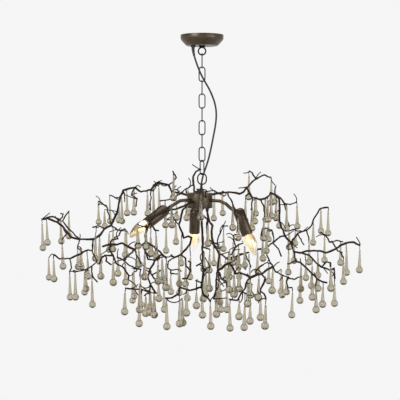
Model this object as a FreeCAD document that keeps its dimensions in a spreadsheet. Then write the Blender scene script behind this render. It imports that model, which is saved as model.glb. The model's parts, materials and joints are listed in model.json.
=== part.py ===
import FreeCAD, Part
import math
import os
import Sketcher

# Crystal chandelier: ceiling rose, chain of links, hub with three lamps, twig branches and glass drops.
# Millimetres. +Z is up, +Y points away from the viewer, the origin is on the ceiling above the chain.

V = FreeCAD.Vector
doc = FreeCAD.newDocument("chandelier")
sheet = doc.addObject("Spreadsheet::Sheet", "Sizes")


class Size:
    """A length with the spreadsheet expression that gives it."""

    def __init__(self, value, text):
        self.value = float(value)
        self.text = text

    def __add__(self, other):
        other = as_size(other)
        return Size(self.value + other.value, f"({self.text} + {other.text})")

    def __sub__(self, other):
        other = as_size(other)
        return Size(self.value - other.value, f"({self.text} - {other.text})")

    def __rsub__(self, other):
        return as_size(other) - self

    def __mul__(self, other):
        other = as_size(other)
        return Size(self.value * other.value, f"({self.text} * {other.text})")

    def __truediv__(self, other):
        other = as_size(other)
        return Size(self.value / other.value, f"({self.text} / {other.text})")

    __radd__ = __add__
    __rmul__ = __mul__

    def __neg__(self):
        return Size(-self.value, f"(0 - {self.text})")

    def __float__(self):
        return self.value


def as_size(value):
    return value if isinstance(value, Size) else Size(value, f"({float(value)})")


row = 0


def size(alias, value, note):
    """Puts one driving dimension in the sheet and returns it."""
    global row
    row += 1
    sheet.set(f"A{row}", note)
    sheet.set(f"B{row}", str(value))
    sheet.setAlias(f"B{row}", alias)
    return Size(value, f"Sizes.{alias}")


# Clearances
gap = size("gap", 0.3, "clearance between neighbouring pieces")
fit_gap = size("fit_gap", 0.2, "clearance of a soldered or screwed joint")
swing_gap = size("swing_gap", 0.6, "clearance above a drop that swings")

# Hanging height
hub_drop = size("hub_drop", 446, "ceiling to hub centre")
hub_shift = size("hub_shift", -5.5, "hub centre beside the chain's axis")

# Ceiling rose
rose_radius = size("rose_radius", 58, "rose cup outer radius")
rose_foot_radius = size("rose_foot_radius", 42, "flat bottom of the rose cup")
rose_height = size("rose_height", 29, "rose cup height")
rose_rim_height = size("rose_rim_height", 12, "upright part of the rose cup")
rose_bevel = size("rose_bevel", 5, "upper bevel of the rose cup")
rose_wall = size("rose_wall", 1.5, "rose cup wall")
bracket_length = size("bracket_length", 92, "ceiling bracket length")
bracket_width = size("bracket_width", 20, "ceiling bracket width")
bracket_thickness = size("bracket_thickness", 3, "ceiling bracket thickness")
screw_spacing = size("screw_spacing", 70, "distance between the ceiling screw holes")
screw_hole_radius = size("screw_hole_radius", 2.25, "ceiling screw hole radius")
eye_radius = size("eye_radius", 10, "ceiling eye centreline radius")
eye_wire = size("eye_wire", 4, "ceiling eye wire diameter")
shank_radius = size("shank_radius", 4, "ceiling eye shank radius")
shank_collar = size("shank_collar", 8, "collar that carries the rose cup")
gland_x = size("gland_x", -24, "cord gland beside the chain")
gland_y = size("gland_y", -12, "cord gland in front of the chain")
gland_radius = size("gland_radius", 7, "cord gland flange radius")
gland_plug = size("gland_plug", 4, "cord gland plug radius")
gland_plug_height = size("gland_plug_height", 2.5, "cord gland plug above the rose cup's floor")
gland_bevel = size("gland_bevel", 1, "bevel of the cord gland")
gland_height = size("gland_height", 7, "cord gland below the rose cup")

# The photograph's view, from which the places of twigs and drops are worked out
view_scale = size("view_scale", 2.735, "millimetres to a picture point at the hub")
lean_left = size("lean_left", 115, "how far back the left branch leans beyond its judged depth")
lean_right = size("lean_right", 30, "how far back the right branch leans beyond its judged depth")

# Chain
link_wire = size("link_wire", 3, "chain wire diameter")
link_width = size("link_width", 19.5, "chain link outer width")
link_pitch = size("link_pitch", 36, "chain link pitch")
ring_wire = size("ring_wire", 3.6, "suspension ring wire diameter")
ring_width = size("ring_width", 28, "suspension ring outer width")
ring_height = size("ring_height", 34, "suspension ring outer height")
twist = size("twist", 50, "turn of the lowest link about the vertical, degrees")

# Supply cable
cable_diameter = size("cable_diameter", 5, "round supply cable diameter")

# Hub
hub_radius = size("hub_radius", 34.7, "hub outer radius")
hub_height = size("hub_height", 38, "hub height")
hub_wall = size("hub_wall", 2, "hub wall")
cover_thickness = size("cover_thickness", 1.7, "bottom cover thickness")
tail_radius = size("tail_radius", 5, "threaded tail of the ring holder")
holder_foot = size("holder_foot", 12, "ring holder foot radius")
holder_neck = size("holder_neck", 7.5, "ring holder neck radius")
holder_waist = size("holder_waist", 3, "height of the ring holder's neck")
tail_below = size("tail_below", 5, "threaded tail below the hub's lower edge")
lug_rim = size("lug_rim", 1.8, "lug above its hole")
holder_rim = size("holder_rim", 2.4, "upright rims of the ring holder")
holder_height = size("holder_height", 11.7, "ring holder height above the hub")
holder_top = size("holder_top", 10.5, "ring holder top radius")
lug_thickness = size("lug_thickness", 3.5, "lug that the ring passes through")
lug_half_width = size("lug_half_width", 4.3, "lug half width")
lug_hole = size("lug_hole", 2.7, "lug hole radius")
lug_offset = size("lug_offset", 0.4, "lug hole centre below the ring's wire")
nut_radius = size("nut_radius", 12.5, "cap nut radius")
nut_height = size("nut_height", 6, "cap nut height")
nut_depth = size("nut_depth", 3.3, "depth of the cap nut's hole")
block_length = size("block_length", 26, "terminal block length")
block_width = size("block_width", 14, "terminal block width")
block_height = size("block_height", 12, "terminal block height")
block_back = size("block_back", 9, "terminal block behind the tail")

# Lamps
lamp_reach = size("lamp_reach", 110, "hub axis to the top of a lamp")
arm_radius = size("arm_radius", 4.5, "lamp arm tube radius")
sleeve_radius = size("sleeve_radius", 15.5, "lamp sleeve outer radius")
sleeve_length = size("sleeve_length", 75, "lamp sleeve length")
sleeve_wall = size("sleeve_wall", 1.2, "lamp sleeve wall")
dome_flat = size("dome_flat", 6, "flat of the domed sleeve top")
dome_height = size("dome_height", 9, "height of the domed sleeve top")
dome_bend = size("dome_bend", 12, "radius where the dome bends")
holder_stem = size("holder_stem", 5, "lampholder stem radius")
holder_start = size("holder_start", 25, "lampholder body below the sleeve's top")
holder_end = size("holder_end", 58, "lampholder mouth below the sleeve's top")
socket_start = size("socket_start", 36.5, "socket floor below the sleeve's top")
contact_radius = size("contact_radius", 3, "foot contact of the screw cap")
cap_shoulder = size("cap_shoulder", 4.2, "slanting part of the screw cap")
cap_below = size("cap_below", 2, "screw cap below the lampholder's mouth")
pinch_radius = size("pinch_radius", 1.6, "support inside the bulb")
pinch_length = size("pinch_length", 34, "length of the support inside the bulb")
holder_radius = size("holder_radius", 11.5, "lampholder radius")
socket_radius = size("socket_radius", 7.3, "lampholder socket radius")
cap_radius = size("cap_radius", 6.95, "small screw cap radius")
bulb_radius = size("bulb_radius", 17.5, "candle bulb radius")
bulb_reach = size("bulb_reach", 62, "bulb tip below the sleeve's mouth")
glass_wall = size("glass_wall", 0.9, "bulb glass wall")

# Twigs and drops
trunk_radius = size("trunk_radius", 2.2, "front trunk radius")
stem_radius = size("stem_radius", 2, "branch stem radius")
limb_radius = size("limb_radius", 1.6, "limb radius")
twig_radius = size("twig_radius", 1.3, "twig radius")
hook_radius = size("hook_radius", 0.9, "drop hook wire radius")
ball_radius = size("ball_radius", 9.8, "glass ball radius")
neck_radius = size("neck_radius", 4.4, "foot of the glass drop's cone, on the ball")
rod_radius = size("rod_radius", 1.9, "top of the glass drop's cone")
drop_length = size("drop_length", 66, "glass drop whose eye is hidden")
drop_shortest = size("drop_shortest", 46, "shortest glass drop")
drop_longest = size("drop_longest", 88, "longest glass drop")
drop_clearance = size("drop_clearance", 0.9, "space round a glass drop")

SIDES_ROUND_WIRE = 8
SIDES_THICK_TWIG = 5
SIDES_THIN_TWIG = 4
SIDES_HOOK = 3
SIDES_LAMP = 14
SIDES_ROSE = 18
SIDES_SMALL = 12
SIDES_CABLE = 6
SIDES_DROP = 5
PICTURE_MIDDLE = 200
SCALE_GROWTH = 0.00114
LEVEL_RISE = 0.079
LEAN_REACH = 60
LINKS = 9
LAMPS = {
    # name: (direction round the hub, tilt from hanging straight down, height of its top, arm points)
    "left": (217, 60, -17, [(30, 0), (50, 2), (67, 1), (83, -6), (104, -16), (118, -23)]),
    "right": (337, 22, -20, [(30, 0), (58, -1), (76, -8), (88, -18), (104, -29)]),
    "back": (97, 18, -33, [(30, 0), (60, -1), (85, -12), (104, -40)]),
}
HANGING = {
    # drops that swing on their own joint: branch and the drop's reading
    "far_right": ("right", (360.3, 271)),
    "right_rim": ("right", (347.3, 273)),
    "right_inner": ("right", (305.5, 278.5)),
    "low_front": ("front_right", (265.5, 328.5)),
    "left_low": ("front_left", (131, 301.5)),
    "left_inner": ("back_left", (166, 251)),
    "hub_front": ("front", (200.7, 216.7)),
    "left_edge": ("left", (98, 222)),
}

hub_place = FreeCAD.Placement(V(hub_shift.value, 0, -hub_drop.value), FreeCAD.Rotation())
made = {}


def keep(name, item, place=None):
    """Labels a sub-part, places it and remembers it for export."""
    item.Label = name
    item.Placement = place if place is not None else FreeCAD.Placement()
    made[name] = item
    return item


def free_shape(name, shape, place=None):
    """A sub-part whose faceted form no feature makes, placed after its shape is set."""
    item = doc.addObject("Part::Feature", name)
    item.Shape = shape
    return keep(name, item, place)


def origin_plane(body, role):
    for feature in body.Origin.OriginFeatures:
        if feature.Role == role:
            return feature
    raise ValueError(role)


def add_sketch(body, name, role, outline, circles=()):
    """A closed outline of points, and circles, each coordinate bound to the sheet."""
    sketch = body.newObject("Sketcher::SketchObject", name)
    sketch.AttachmentSupport = [(origin_plane(body, role), "")]
    sketch.MapMode = "FlatFace"
    count = len(outline)
    spots = [V(float(a), float(b), 0) for a, b in outline]
    for i in range(count):
        sketch.addGeometry(Part.LineSegment(spots[i], spots[(i + 1) % count]), False)
    for i in range(count):
        sketch.addConstraint(Sketcher.Constraint("Coincident", i, 2, (i + 1) % count, 1))
    for i in range(count):
        for kind, value in zip(("DistanceX", "DistanceY"), outline[i]):
            value = as_size(value)
            number = sketch.addConstraint(Sketcher.Constraint(kind, -1, 1, i, 1, value.value))
            sketch.setExpression(f"Constraints[{number}]", value.text)
    for across, up, radius in circles:
        ring = sketch.addGeometry(Part.Circle(V(float(across), float(up), 0), V(0, 0, 1), float(radius)), False)
        number = sketch.addConstraint(Sketcher.Constraint("Radius", ring, float(radius)))
        sketch.setExpression(f"Constraints[{number}]", as_size(radius).text)
        for kind, value in (("DistanceX", across), ("DistanceY", up)):
            value = as_size(value)
            number = sketch.addConstraint(Sketcher.Constraint(kind, -1, 1, ring, 3, value.value))
            sketch.setExpression(f"Constraints[{number}]", value.text)
    return sketch


def turned(name, outline, place=None):
    """A body turned about its own Z axis from an outline of radius and height."""
    body = doc.addObject("PartDesign::Body", name)
    sketch = add_sketch(body, name + "_outline", "XZ_Plane", outline)
    turn = body.newObject("PartDesign::Revolution", name + "_turn")
    turn.Profile = sketch
    turn.ReferenceAxis = (sketch, ["V_Axis"])
    turn.Angle = 360
    sketch.Visibility = False
    return keep(name, body, place)


def padded(name, role, outline, thickness, circles=(), place=None):
    """A body raised from an outline, evenly on both sides of its plane."""
    body = doc.addObject("PartDesign::Body", name)
    sketch = add_sketch(body, name + "_outline", role, outline, circles)
    pad = body.newObject("PartDesign::Pad", name + "_pad")
    pad.Profile = sketch
    pad.Midplane = True
    pad.Length = float(thickness)
    pad.setExpression("Length", as_size(thickness).text)
    return keep(name, body, place)


def facets(rings, closed=False):
    """A solid between rings of points, with end faces unless the rings close on themselves."""
    faces = []
    count = len(rings[0])
    pairs = list(zip(rings, rings[1:]))
    if closed:
        pairs.append((rings[-1], rings[0]))
    for low, high in pairs:
        for i in range(count):
            j = (i + 1) % count
            quad = [low[i], low[j], high[j], high[i], low[i]]
            faces.append(Part.Face(Part.makePolygon(quad)))
    if not closed:
        for ring in (rings[0], rings[-1]):
            faces.append(Part.Face(Part.makePolygon(ring + [ring[0]])))
    solid = Part.Solid(Part.Shell(faces))
    if solid.Volume < 0:
        solid.reverse()
    return solid


def many_sided(outline, sides):
    """A solid of flat faces round the Z axis, in place of a turned one, from a loop of radius and height."""
    spots = [(float(radius), float(height)) for radius, height in outline]
    turns = [2 * math.pi * i / sides for i in range(sides + 1)]
    faces = []
    for (radius, height), (next_radius, next_height) in zip(spots, spots[1:] + spots[:1]):
        if radius == 0 and next_radius == 0:
            continue
        if height == next_height and 0 in (radius, next_radius):
            rim = max(radius, next_radius)
            faces.append(Part.Face(Part.makePolygon([V(rim * math.cos(a), rim * math.sin(a), height) for a in turns])))
            continue
        for a, b in zip(turns, turns[1:]):
            corners = []
            for r, z, turn in ((radius, height, a), (radius, height, b), (next_radius, next_height, b), (next_radius, next_height, a)):
                corner = V(r * math.cos(turn), r * math.sin(turn), z)
                if not corners or (corner - corners[-1]).Length > 1e-6:
                    corners.append(corner)
            if (corners[0] - corners[-1]).Length < 1e-6:
                corners.pop()
            faces.append(Part.Face(Part.makePolygon(corners + [corners[0]])))
    solid = Part.Solid(Part.Shell(faces))
    if solid.Volume < 0:
        solid.reverse()
    return solid


def first_ring(start, along, radius, sides):
    side = along.cross(V(0, 0, 1))
    if side.Length < 0.2:
        side = along.cross(V(0, 1, 0))
    side.normalize()
    up = side.cross(along)
    turns = [2 * math.pi * (i + 0.5) / sides for i in range(sides)]
    return [start + side * (radius * math.cos(a)) + up * (radius * math.sin(a)) for a in turns]


def slide_to(ring, along, spot, normal):
    """The ring moved along the run until it lies in the plane through the spot."""
    return [p + along * ((spot - p).dot(normal) / along.dot(normal)) for p in ring]


def wire_run(points, radius, sides):
    """Straight runs of even section, mitred where they meet."""
    runs = [(b - a).normalize() for a, b in zip(points, points[1:])]
    rings = [first_ring(points[0], runs[0], radius, sides)]
    for i, along in enumerate(runs):
        normal = along if i == len(runs) - 1 else (along + runs[i + 1]).normalize()
        rings.append(slide_to(rings[-1], along, points[i + 1], normal))
    return facets(rings)


def wire_loop(points, radius, sides):
    """A closed flat loop of even section, mitred at every corner."""
    count = len(points)
    runs = [(points[(i + 1) % count] - points[i]).normalize() for i in range(count)]
    flat = runs[0].cross(runs[1]).normalize()
    turns = [2 * math.pi * (i + 0.5) / sides for i in range(sides)]
    rings = []
    for i in range(count):
        before = runs[i - 1]
        after = runs[i]
        out = (before - after).normalize()
        stretch = 1 / out.dot(after.cross(flat).normalize())
        ring = []
        for a in turns:
            ring.append(points[i] + out * (radius * math.cos(a) * abs(stretch)) + flat * (radius * math.sin(a)))
        rings.append(ring)
    return facets(rings, closed=True)


def racetrack(half_width, half_length, steps):
    """Corners of an upright loop in the XZ plane whose runs touch its round ends from outside."""
    straight = half_length - half_width
    corner = half_width / math.cos(math.pi / steps / 2)
    points = []
    for centre, start in ((straight, 0), (-straight, 180)):
        for i in range(steps):
            a = math.radians(start + 180 * (i + 0.5) / steps)
            points.append(V(corner * math.cos(a), 0, centre + corner * math.sin(a)))
    return points


def loop_shape(width, height, wire, steps=4):
    half_wire = wire.value / 2
    points = racetrack(width.value / 2 - half_wire, height / 2 - half_wire, steps)
    return wire_loop(points, half_wire, SIDES_ROUND_WIRE)


# Heights of the chain above the hub centre
ring_low = 42.55
ring_centre = ring_low + (ring_height.value - ring_wire.value) / 2
ring_top = ring_low + ring_height.value - ring_wire.value
link_length = link_pitch.value + 2 * link_wire.value + gap.value
lowest_link_low = ring_top - (link_wire.value + ring_wire.value) / 2 - gap.value
lowest_link = lowest_link_low + (link_length - link_wire.value) / 2


def link_height(number):
    """Centre of a link above the hub, counted from 1 at the top."""
    return lowest_link + link_pitch.value * (LINKS - number)


def make_links():
    shape = loop_shape(link_width, link_length, link_wire)
    for number in range(1, LINKS + 1):
        turn = 0 if number % 2 == 0 else 90
        if number == LINKS:
            turn = twist.value
        spot = V(0, 0, link_height(number) - hub_drop.value)
        place = FreeCAD.Placement(spot, FreeCAD.Rotation(V(0, 0, 1), turn))
        free_shape(f"chain_link_{number}", shape.copy(), place)


def make_ring():
    shape = loop_shape(ring_width, ring_height.value, ring_wire, 6)
    free_shape("suspension_ring", shape, FreeCAD.Placement(V(0, 0, ring_centre - hub_drop.value), FreeCAD.Rotation()))


def make_rose():
    low = -rose_height
    outline = [
        (rose_radius, 0),
        (rose_radius, -rose_rim_height),
        (rose_radius - rose_bevel, -rose_rim_height - rose_bevel),
        (rose_foot_radius, low),
        (shank_radius + gap, low),
        (shank_radius + gap, low + rose_wall),
        (rose_foot_radius - rose_wall * 0.3, low + rose_wall),
        (rose_radius - rose_bevel - rose_wall, -rose_rim_height - rose_bevel),
        (rose_radius - rose_wall, rose_wall * 0.4 - rose_rim_height),
        (rose_radius - rose_wall, 0),
    ]
    cup = many_sided(outline, SIDES_ROSE)
    plug = gland_plug.value + gap.value
    hole = Part.makeCylinder(plug, 2 * rose_height.value, V(gland_x.value, gland_y.value, -2 * rose_height.value))
    free_shape("rose_cup", cup.cut(hole))


def make_bracket():
    half = bracket_length / 2
    side = bracket_width / 2
    outline = [(-half, -side), (half, -side), (half, side), (-half, side)]
    holes = [(screw_spacing / 2, 0, screw_hole_radius), (-(screw_spacing / 2), 0, screw_hole_radius)]
    place = FreeCAD.Placement(V(0, 0, -bracket_thickness.value / 2), FreeCAD.Rotation())
    padded("ceiling_bracket", "XY_Plane", outline, bracket_thickness, holes, place)


def make_eye():
    half_wire = eye_wire.value / 2
    top_of_link = link_height(1) + (link_length - link_wire.value) / 2
    low = top_of_link - (eye_wire.value + link_wire.value) / 2 - gap.value
    centre = low + eye_radius.value - hub_drop.value
    loop = [spot + V(0, 0, centre) for spot in racetrack(eye_radius.value, eye_radius.value, 6)]
    ring = wire_loop(loop, half_wire, SIDES_ROUND_WIRE)
    foot = centre + eye_radius.value
    collar_top = -rose_height.value - gap.value
    low_edge = foot - 0.5
    outline = [
        (0, low_edge),
        (shank_collar, low_edge),
        (shank_collar, collar_top),
        (shank_radius, collar_top),
        (shank_radius, -bracket_thickness),
        (0, -bracket_thickness),
    ]
    free_shape("ceiling_eye", ring.fuse(many_sided(outline, SIDES_SMALL)).removeSplitter())


def make_gland():
    outline = [
        (0, gland_plug_height),
        (gland_plug, gland_plug_height),
        (gland_plug, -gap),
        (gland_radius, -gap),
        (gland_radius - gland_bevel, -gland_height),
        (0, -gland_height),
    ]
    place = FreeCAD.Placement(V(gland_x.value, gland_y.value, -rose_height.value), FreeCAD.Rotation())
    free_shape("cord_gland", many_sided(outline, SIDES_SMALL), place)


def make_holder():
    top = hub_height.value / 2
    foot = top + gap.value
    neck = foot + holder_height.value / 2
    crown = foot + holder_height.value
    tail_end = -(top + tail_below.value)
    outline = [
        (0, tail_end),
        (tail_radius, tail_end),
        (tail_radius, foot),
        (holder_foot, foot),
        (holder_foot, foot + holder_rim.value),
        (holder_neck, neck - holder_waist.value / 2),
        (holder_neck, neck + holder_waist.value / 2),
        (holder_top, crown - holder_rim.value),
        (holder_top, crown),
        (0, crown),
    ]
    side = lug_half_width.value
    hole_height = ring_low - lug_offset.value
    top_edge = hole_height + lug_hole.value + lug_rim.value
    bevel = lug_rim.value
    sides = [(-side, neck), (side, neck), (side, top_edge - bevel), (side - bevel, top_edge)]
    sides += [(bevel - side, top_edge), (-side, top_edge - bevel)]
    left_face = -hub_shift.value - lug_thickness.value / 2
    face = Part.Face(Part.makePolygon([V(left_face, y, z) for y, z in sides + sides[:1]]))
    lug = face.extrude(V(lug_thickness.value, 0, 0))
    hole = Part.makeCylinder(lug_hole.value, lug_thickness.value * 2, V(left_face - 1, 0, hole_height), V(1, 0, 0))
    shape = many_sided(outline, SIDES_ROSE).fuse(lug.cut(hole)).removeSplitter()
    free_shape("ring_holder", shape, hub_place)


def make_hub():
    top = hub_height / 2
    bore = tail_radius + gap
    outline = [
        (bore, top),
        (hub_radius, top),
        (hub_radius, -top),
        (hub_radius - hub_wall, -top),
        (hub_radius - hub_wall, top - hub_wall),
        (bore, top - hub_wall),
    ]
    turned("hub_body", outline, hub_place)
    under = -(top + gap)
    cover = [(bore, under), (hub_radius, under), (hub_radius, under - cover_thickness), (bore, under - cover_thickness)]
    turned("hub_cover", cover, hub_place)
    seat = under - cover_thickness - gap
    nut = [
        (bore, seat),
        (nut_radius, seat),
        (nut_radius, seat - nut_height * 0.65),
        (0, seat - nut_height),
        (0, seat - nut_depth),
        (bore, seat - nut_depth),
    ]
    free_shape("hub_nut", many_sided(nut, SIDES_SMALL), hub_place)


def make_block():
    half = block_length / 2
    outline = [(-half, block_back), (half, block_back), (half, block_back + block_width), (-half, block_back + block_width)]
    low = -(hub_height.value / 2) + block_height.value / 2
    place = FreeCAD.Placement(V(hub_shift.value, 0, low - hub_drop.value), FreeCAD.Rotation())
    padded("terminal_block", "XY_Plane", outline, block_height, (), place)


def lamp_placement(azimuth, tilt, height):
    a = math.radians(azimuth)
    spot = V(lamp_reach.value * math.cos(a), lamp_reach.value * math.sin(a), height)
    spin = FreeCAD.Rotation(V(0, 0, 1), azimuth).multiply(FreeCAD.Rotation(V(0, 1, 0), -tilt))
    return hub_place.multiply(FreeCAD.Placement(spot, spin))


def sleeve_outside(grow):
    """Outer half outline of a lamp sleeve, grown all round, from the top centre to the mouth."""
    return [
        (0, grow),
        (dome_flat.value + grow * 0.4, grow),
        (dome_bend.value + grow * 0.8, -dome_height.value * 0.36 + grow * 0.6),
        (sleeve_radius.value + grow, -dome_height.value),
        (sleeve_radius.value + grow, -sleeve_length.value),
    ]


def make_sleeve(name, place):
    wall = sleeve_wall.value
    inside = [
        (sleeve_radius.value - wall, -sleeve_length.value),
        (sleeve_radius.value - wall, -dome_height.value - wall * 0.3),
        (dome_bend.value - wall * 0.6, -dome_height.value * 0.36 - wall * 0.9),
        (dome_flat.value - wall * 0.3, -wall),
        (0, -wall),
    ]
    free_shape(f"lamp_sleeve_{name}", many_sided(sleeve_outside(0) + inside, SIDES_LAMP), place)


def make_lampholder(name, place):
    top = -sleeve_wall
    outline = [
        (0, top),
        (holder_stem, top),
        (holder_stem, -holder_start),
        (holder_radius, -holder_start),
        (holder_radius, -holder_end),
        (socket_radius, -holder_end),
        (socket_radius, -socket_start),
        (0, -socket_start),
    ]
    free_shape(f"lampholder_{name}", many_sided(outline, SIDES_LAMP), place)


def make_bulb(name, place):
    contact = -socket_start - gap
    base = -holder_end - cap_below
    pinch_end = base - pinch_length
    cap = [
        (0, contact),
        (contact_radius, contact),
        (cap_radius, contact - cap_shoulder),
        (cap_radius, base),
        (pinch_radius, base),
        (pinch_radius, pinch_end),
        (0, pinch_end),
    ]
    free_shape(f"bulb_cap_{name}", many_sided(cap, SIDES_LAMP), place)
    mouth = -sleeve_length
    tip = mouth - bulb_reach
    wall = glass_wall
    throat = sleeve_radius - sleeve_wall - 1.8
    seat = base - fit_gap
    glass = [
        (cap_radius, seat),
        (throat, mouth + 1),
        (bulb_radius, mouth - bulb_reach * 0.24),
        (bulb_radius * 0.92, mouth - bulb_reach * 0.5),
        (bulb_radius * 0.55, mouth - bulb_reach * 0.8),
        (bulb_radius * 0.18, tip + 1.5),
        (0, tip),
        (0, tip + 3),
        (bulb_radius * 0.55 - wall, mouth - bulb_reach * 0.79),
        (bulb_radius * 0.92 - wall, mouth - bulb_reach * 0.5),
        (bulb_radius - wall, mouth - bulb_reach * 0.24),
        (throat - wall, mouth + 0.6),
        (cap_radius - wall, seat),
    ]
    free_shape(f"bulb_glass_{name}", many_sided(glass, SIDES_LAMP), place)


def make_arm(name, azimuth, points, place):
    a = math.radians(azimuth)
    path = [V(r * math.cos(a), r * math.sin(a), z) for r, z in points]
    arm = wire_run(path, arm_radius.value, SIDES_ROUND_WIRE)
    envelope = [V(radius, 0, height) for radius, height in sleeve_outside(fit_gap.value)]
    envelope.append(V(0, 0, -sleeve_length.value))
    body = Part.Face(Part.makePolygon(envelope + [envelope[0]])).revolve(V(0, 0, 0), V(0, 0, 1), 360)
    body.Placement = hub_place.inverse().multiply(place)
    shape = largest(arm.cut(body).cut(hub_envelope()))
    free_shape(f"lamp_arm_{name}", shape, hub_place)


def hub_envelope():
    """The hub with its cover, a little larger, to trim what is soldered to it."""
    radius = hub_radius.value + fit_gap.value
    low = -hub_height.value / 2 - gap.value - cover_thickness.value - fit_gap.value
    high = hub_height.value / 2 + fit_gap.value
    return Part.makeCylinder(radius, high - low, V(0, 0, low))


def largest(shape):
    return max(shape.Solids, key=lambda solid: solid.Volume)


def make_lamps():
    for name, (azimuth, tilt, height, arm) in LAMPS.items():
        place = lamp_placement(azimuth, tilt, height)
        make_arm(name, azimuth, arm, place)
        make_sleeve(name, place)
        make_lampholder(name, place)
        make_bulb(name, place)


TWIG_KINDS = {
    "trunk": (trunk_radius, SIDES_THICK_TWIG),
    "stem": (stem_radius, SIDES_THICK_TWIG),
    "limb": (limb_radius, SIDES_THIN_TWIG),
    "twig": (twig_radius, SIDES_THIN_TWIG),
}


def make_branch(name, twigs, drops, swinging):
    """Twigs of one branch with the hooks of its drops, all one casting, trimmed at the hub."""
    solids = []
    for _, kind, points in twigs:
        radius, sides = TWIG_KINDS[kind]
        # a flat-sided twig as thick as a round one
        corner = radius.value * math.sqrt(2 * math.pi / sides / math.sin(2 * math.pi / sides))
        solids.append(wire_run([V(*spot) for spot in points], corner, sides))
    for reading, drop in drops.items():
        x, y, twig_height, top, _ = drop
        space = swing_gap if reading in swinging else gap
        spots = [V(x, y, twig_height), V(x, y, top + space.value)]
        solids.append(wire_run(spots, hook_radius.value, SIDES_HOOK))
    shape = solids[0].fuse(solids[1:])
    shape = shape.cut(hub_envelope()).removeSplitter()
    free_shape(f"branch_{name}", shape, hub_place)


def drop_shape(length):
    """One glass drop hanging from its eye at height zero."""
    ball = ball_radius.value
    low = -length
    outline = [
        (ball * 0.5, low),
        (ball, low + ball),
        (neck_radius.value, low + ball * 1.9),
        (rod_radius.value, 0),
    ]
    rings = []
    for radius, height in outline:
        turns = [2 * math.pi * i / SIDES_DROP for i in range(SIDES_DROP)]
        rings.append([V(radius * math.cos(a), radius * math.sin(a), height) for a in turns])
    return facets(rings)


def make_drops(name, drops):
    solids = []
    for x, y, _, top, length in drops:
        drop = drop_shape(length)
        drop.translate(V(x, y, top))
        solids.append(drop)
    free_shape(f"drops_{name}", Part.makeCompound(solids), hub_place)


def make_hanging_drop(name, drop):
    x, y, _, top, length = drop
    place = hub_place.multiply(FreeCAD.Placement(V(x, y, top), FreeCAD.Rotation()))
    free_shape(f"drop_{name}", drop_shape(length), place)


def point_scale(depth):
    """Millimetres to a picture point at a depth behind the hub."""
    return view_scale.value + SCALE_GROWTH * depth


def height_at(down, depth):
    return -(down - PICTURE_MIDDLE) * point_scale(depth) - LEVEL_RISE * depth


def seen(branch, reading):
    """Place from the hub centre of a twig point read in the picture, to whole millimetres and depth to five."""
    across, down, depth = reading
    lean = {"left": lean_left.value, "right": lean_right.value}.get(branch, 0)
    depth += lean * min(1, abs(across - PICTURE_MIDDLE) / LEAN_REACH)
    right = (across - PICTURE_MIDDLE) * point_scale(depth)
    return round(right), 5 * round(depth / 5), round(height_at(down, depth))


def in_picture(spot):
    """Where a place from the hub centre is seen in the picture."""
    x, y, z = spot
    scale = point_scale(y)
    return PICTURE_MIDDLE + x / scale, PICTURE_MIDDLE - (z + LEVEL_RISE * y) / scale


def minus(a, b):
    return a[0] - b[0], a[1] - b[1], a[2] - b[2]


def dot(a, b):
    return a[0] * b[0] + a[1] * b[1] + a[2] * b[2]


def along(a, step, share):
    return a[0] + step[0] * share, a[1] + step[1] * share, a[2] + step[2] * share


def within(share):
    return min(1.0, max(0.0, share))


def distance(first, second):
    """Shortest distance between two straight runs."""
    start, end = first
    other_start, other_end = second
    step = minus(end, start)
    other_step = minus(other_end, other_start)
    apart = minus(start, other_start)
    size_1 = dot(step, step)
    size_2 = dot(other_step, other_step)
    lead = dot(other_step, apart)
    share = 0.0
    other = 0.0
    if size_1 < 1e-9:
        other = within(lead / size_2) if size_2 > 1e-9 else 0.0
    else:
        back = dot(step, apart)
        if size_2 < 1e-9:
            share = within(-back / size_1)
        else:
            both = dot(step, other_step)
            spread = size_1 * size_2 - both * both
            share = within((both * lead - back * size_2) / spread) if spread > 1e-9 else 0.0
            other = (both * share + lead) / size_2
            if other < 0:
                other = 0.0
                share = within(-back / size_1)
            elif other > 1:
                other = 1.0
                share = within((both - back) / size_1)
    return math.sqrt(sum(c * c for c in minus(along(start, step, share), along(other_start, other_step, other))))


def drop_runs(x, y, top, length):
    """The cone and the ball of a drop as runs with a radius."""
    middle = top - length + ball_radius.value
    foot = middle + 0.9 * ball_radius.value
    bend = foot + (top - foot) * 0.45
    slim = neck_radius.value + (rod_radius.value - neck_radius.value) * 0.45
    return [
        (((x, y, top), (x, y, bend)), slim),
        (((x, y, bend), (x, y, foot)), neck_radius.value),
        (((x, y, middle), (x, y, middle)), ball_radius.value + fit_gap.value),
    ]


def lamp_runs():
    """Lamps, their arms and the hub as runs with a radius."""
    runs = [(((0, 0, hub_height.value / 2), (0, 0, -hub_height.value / 2)), hub_radius.value + 1.3)]
    for azimuth, tilt, height, _ in LAMPS.values():
        a = math.radians(azimuth)
        t = math.radians(tilt)
        top = (lamp_reach.value * math.cos(a), lamp_reach.value * math.sin(a), height)
        down = (math.sin(t) * math.cos(a), math.sin(t) * math.sin(a), -math.cos(t))
        mouth = along(top, down, sleeve_length.value)
        tip = along(top, down, sleeve_length.value + bulb_reach.value)
        runs.append(((top, mouth), sleeve_radius.value + 1))
        runs.append(((mouth, tip), bulb_radius.value + 1))
        root = (hub_radius.value * math.cos(a), hub_radius.value * math.sin(a), 0)
        runs.append(((root, top), arm_radius.value + 1))
    return runs


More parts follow.
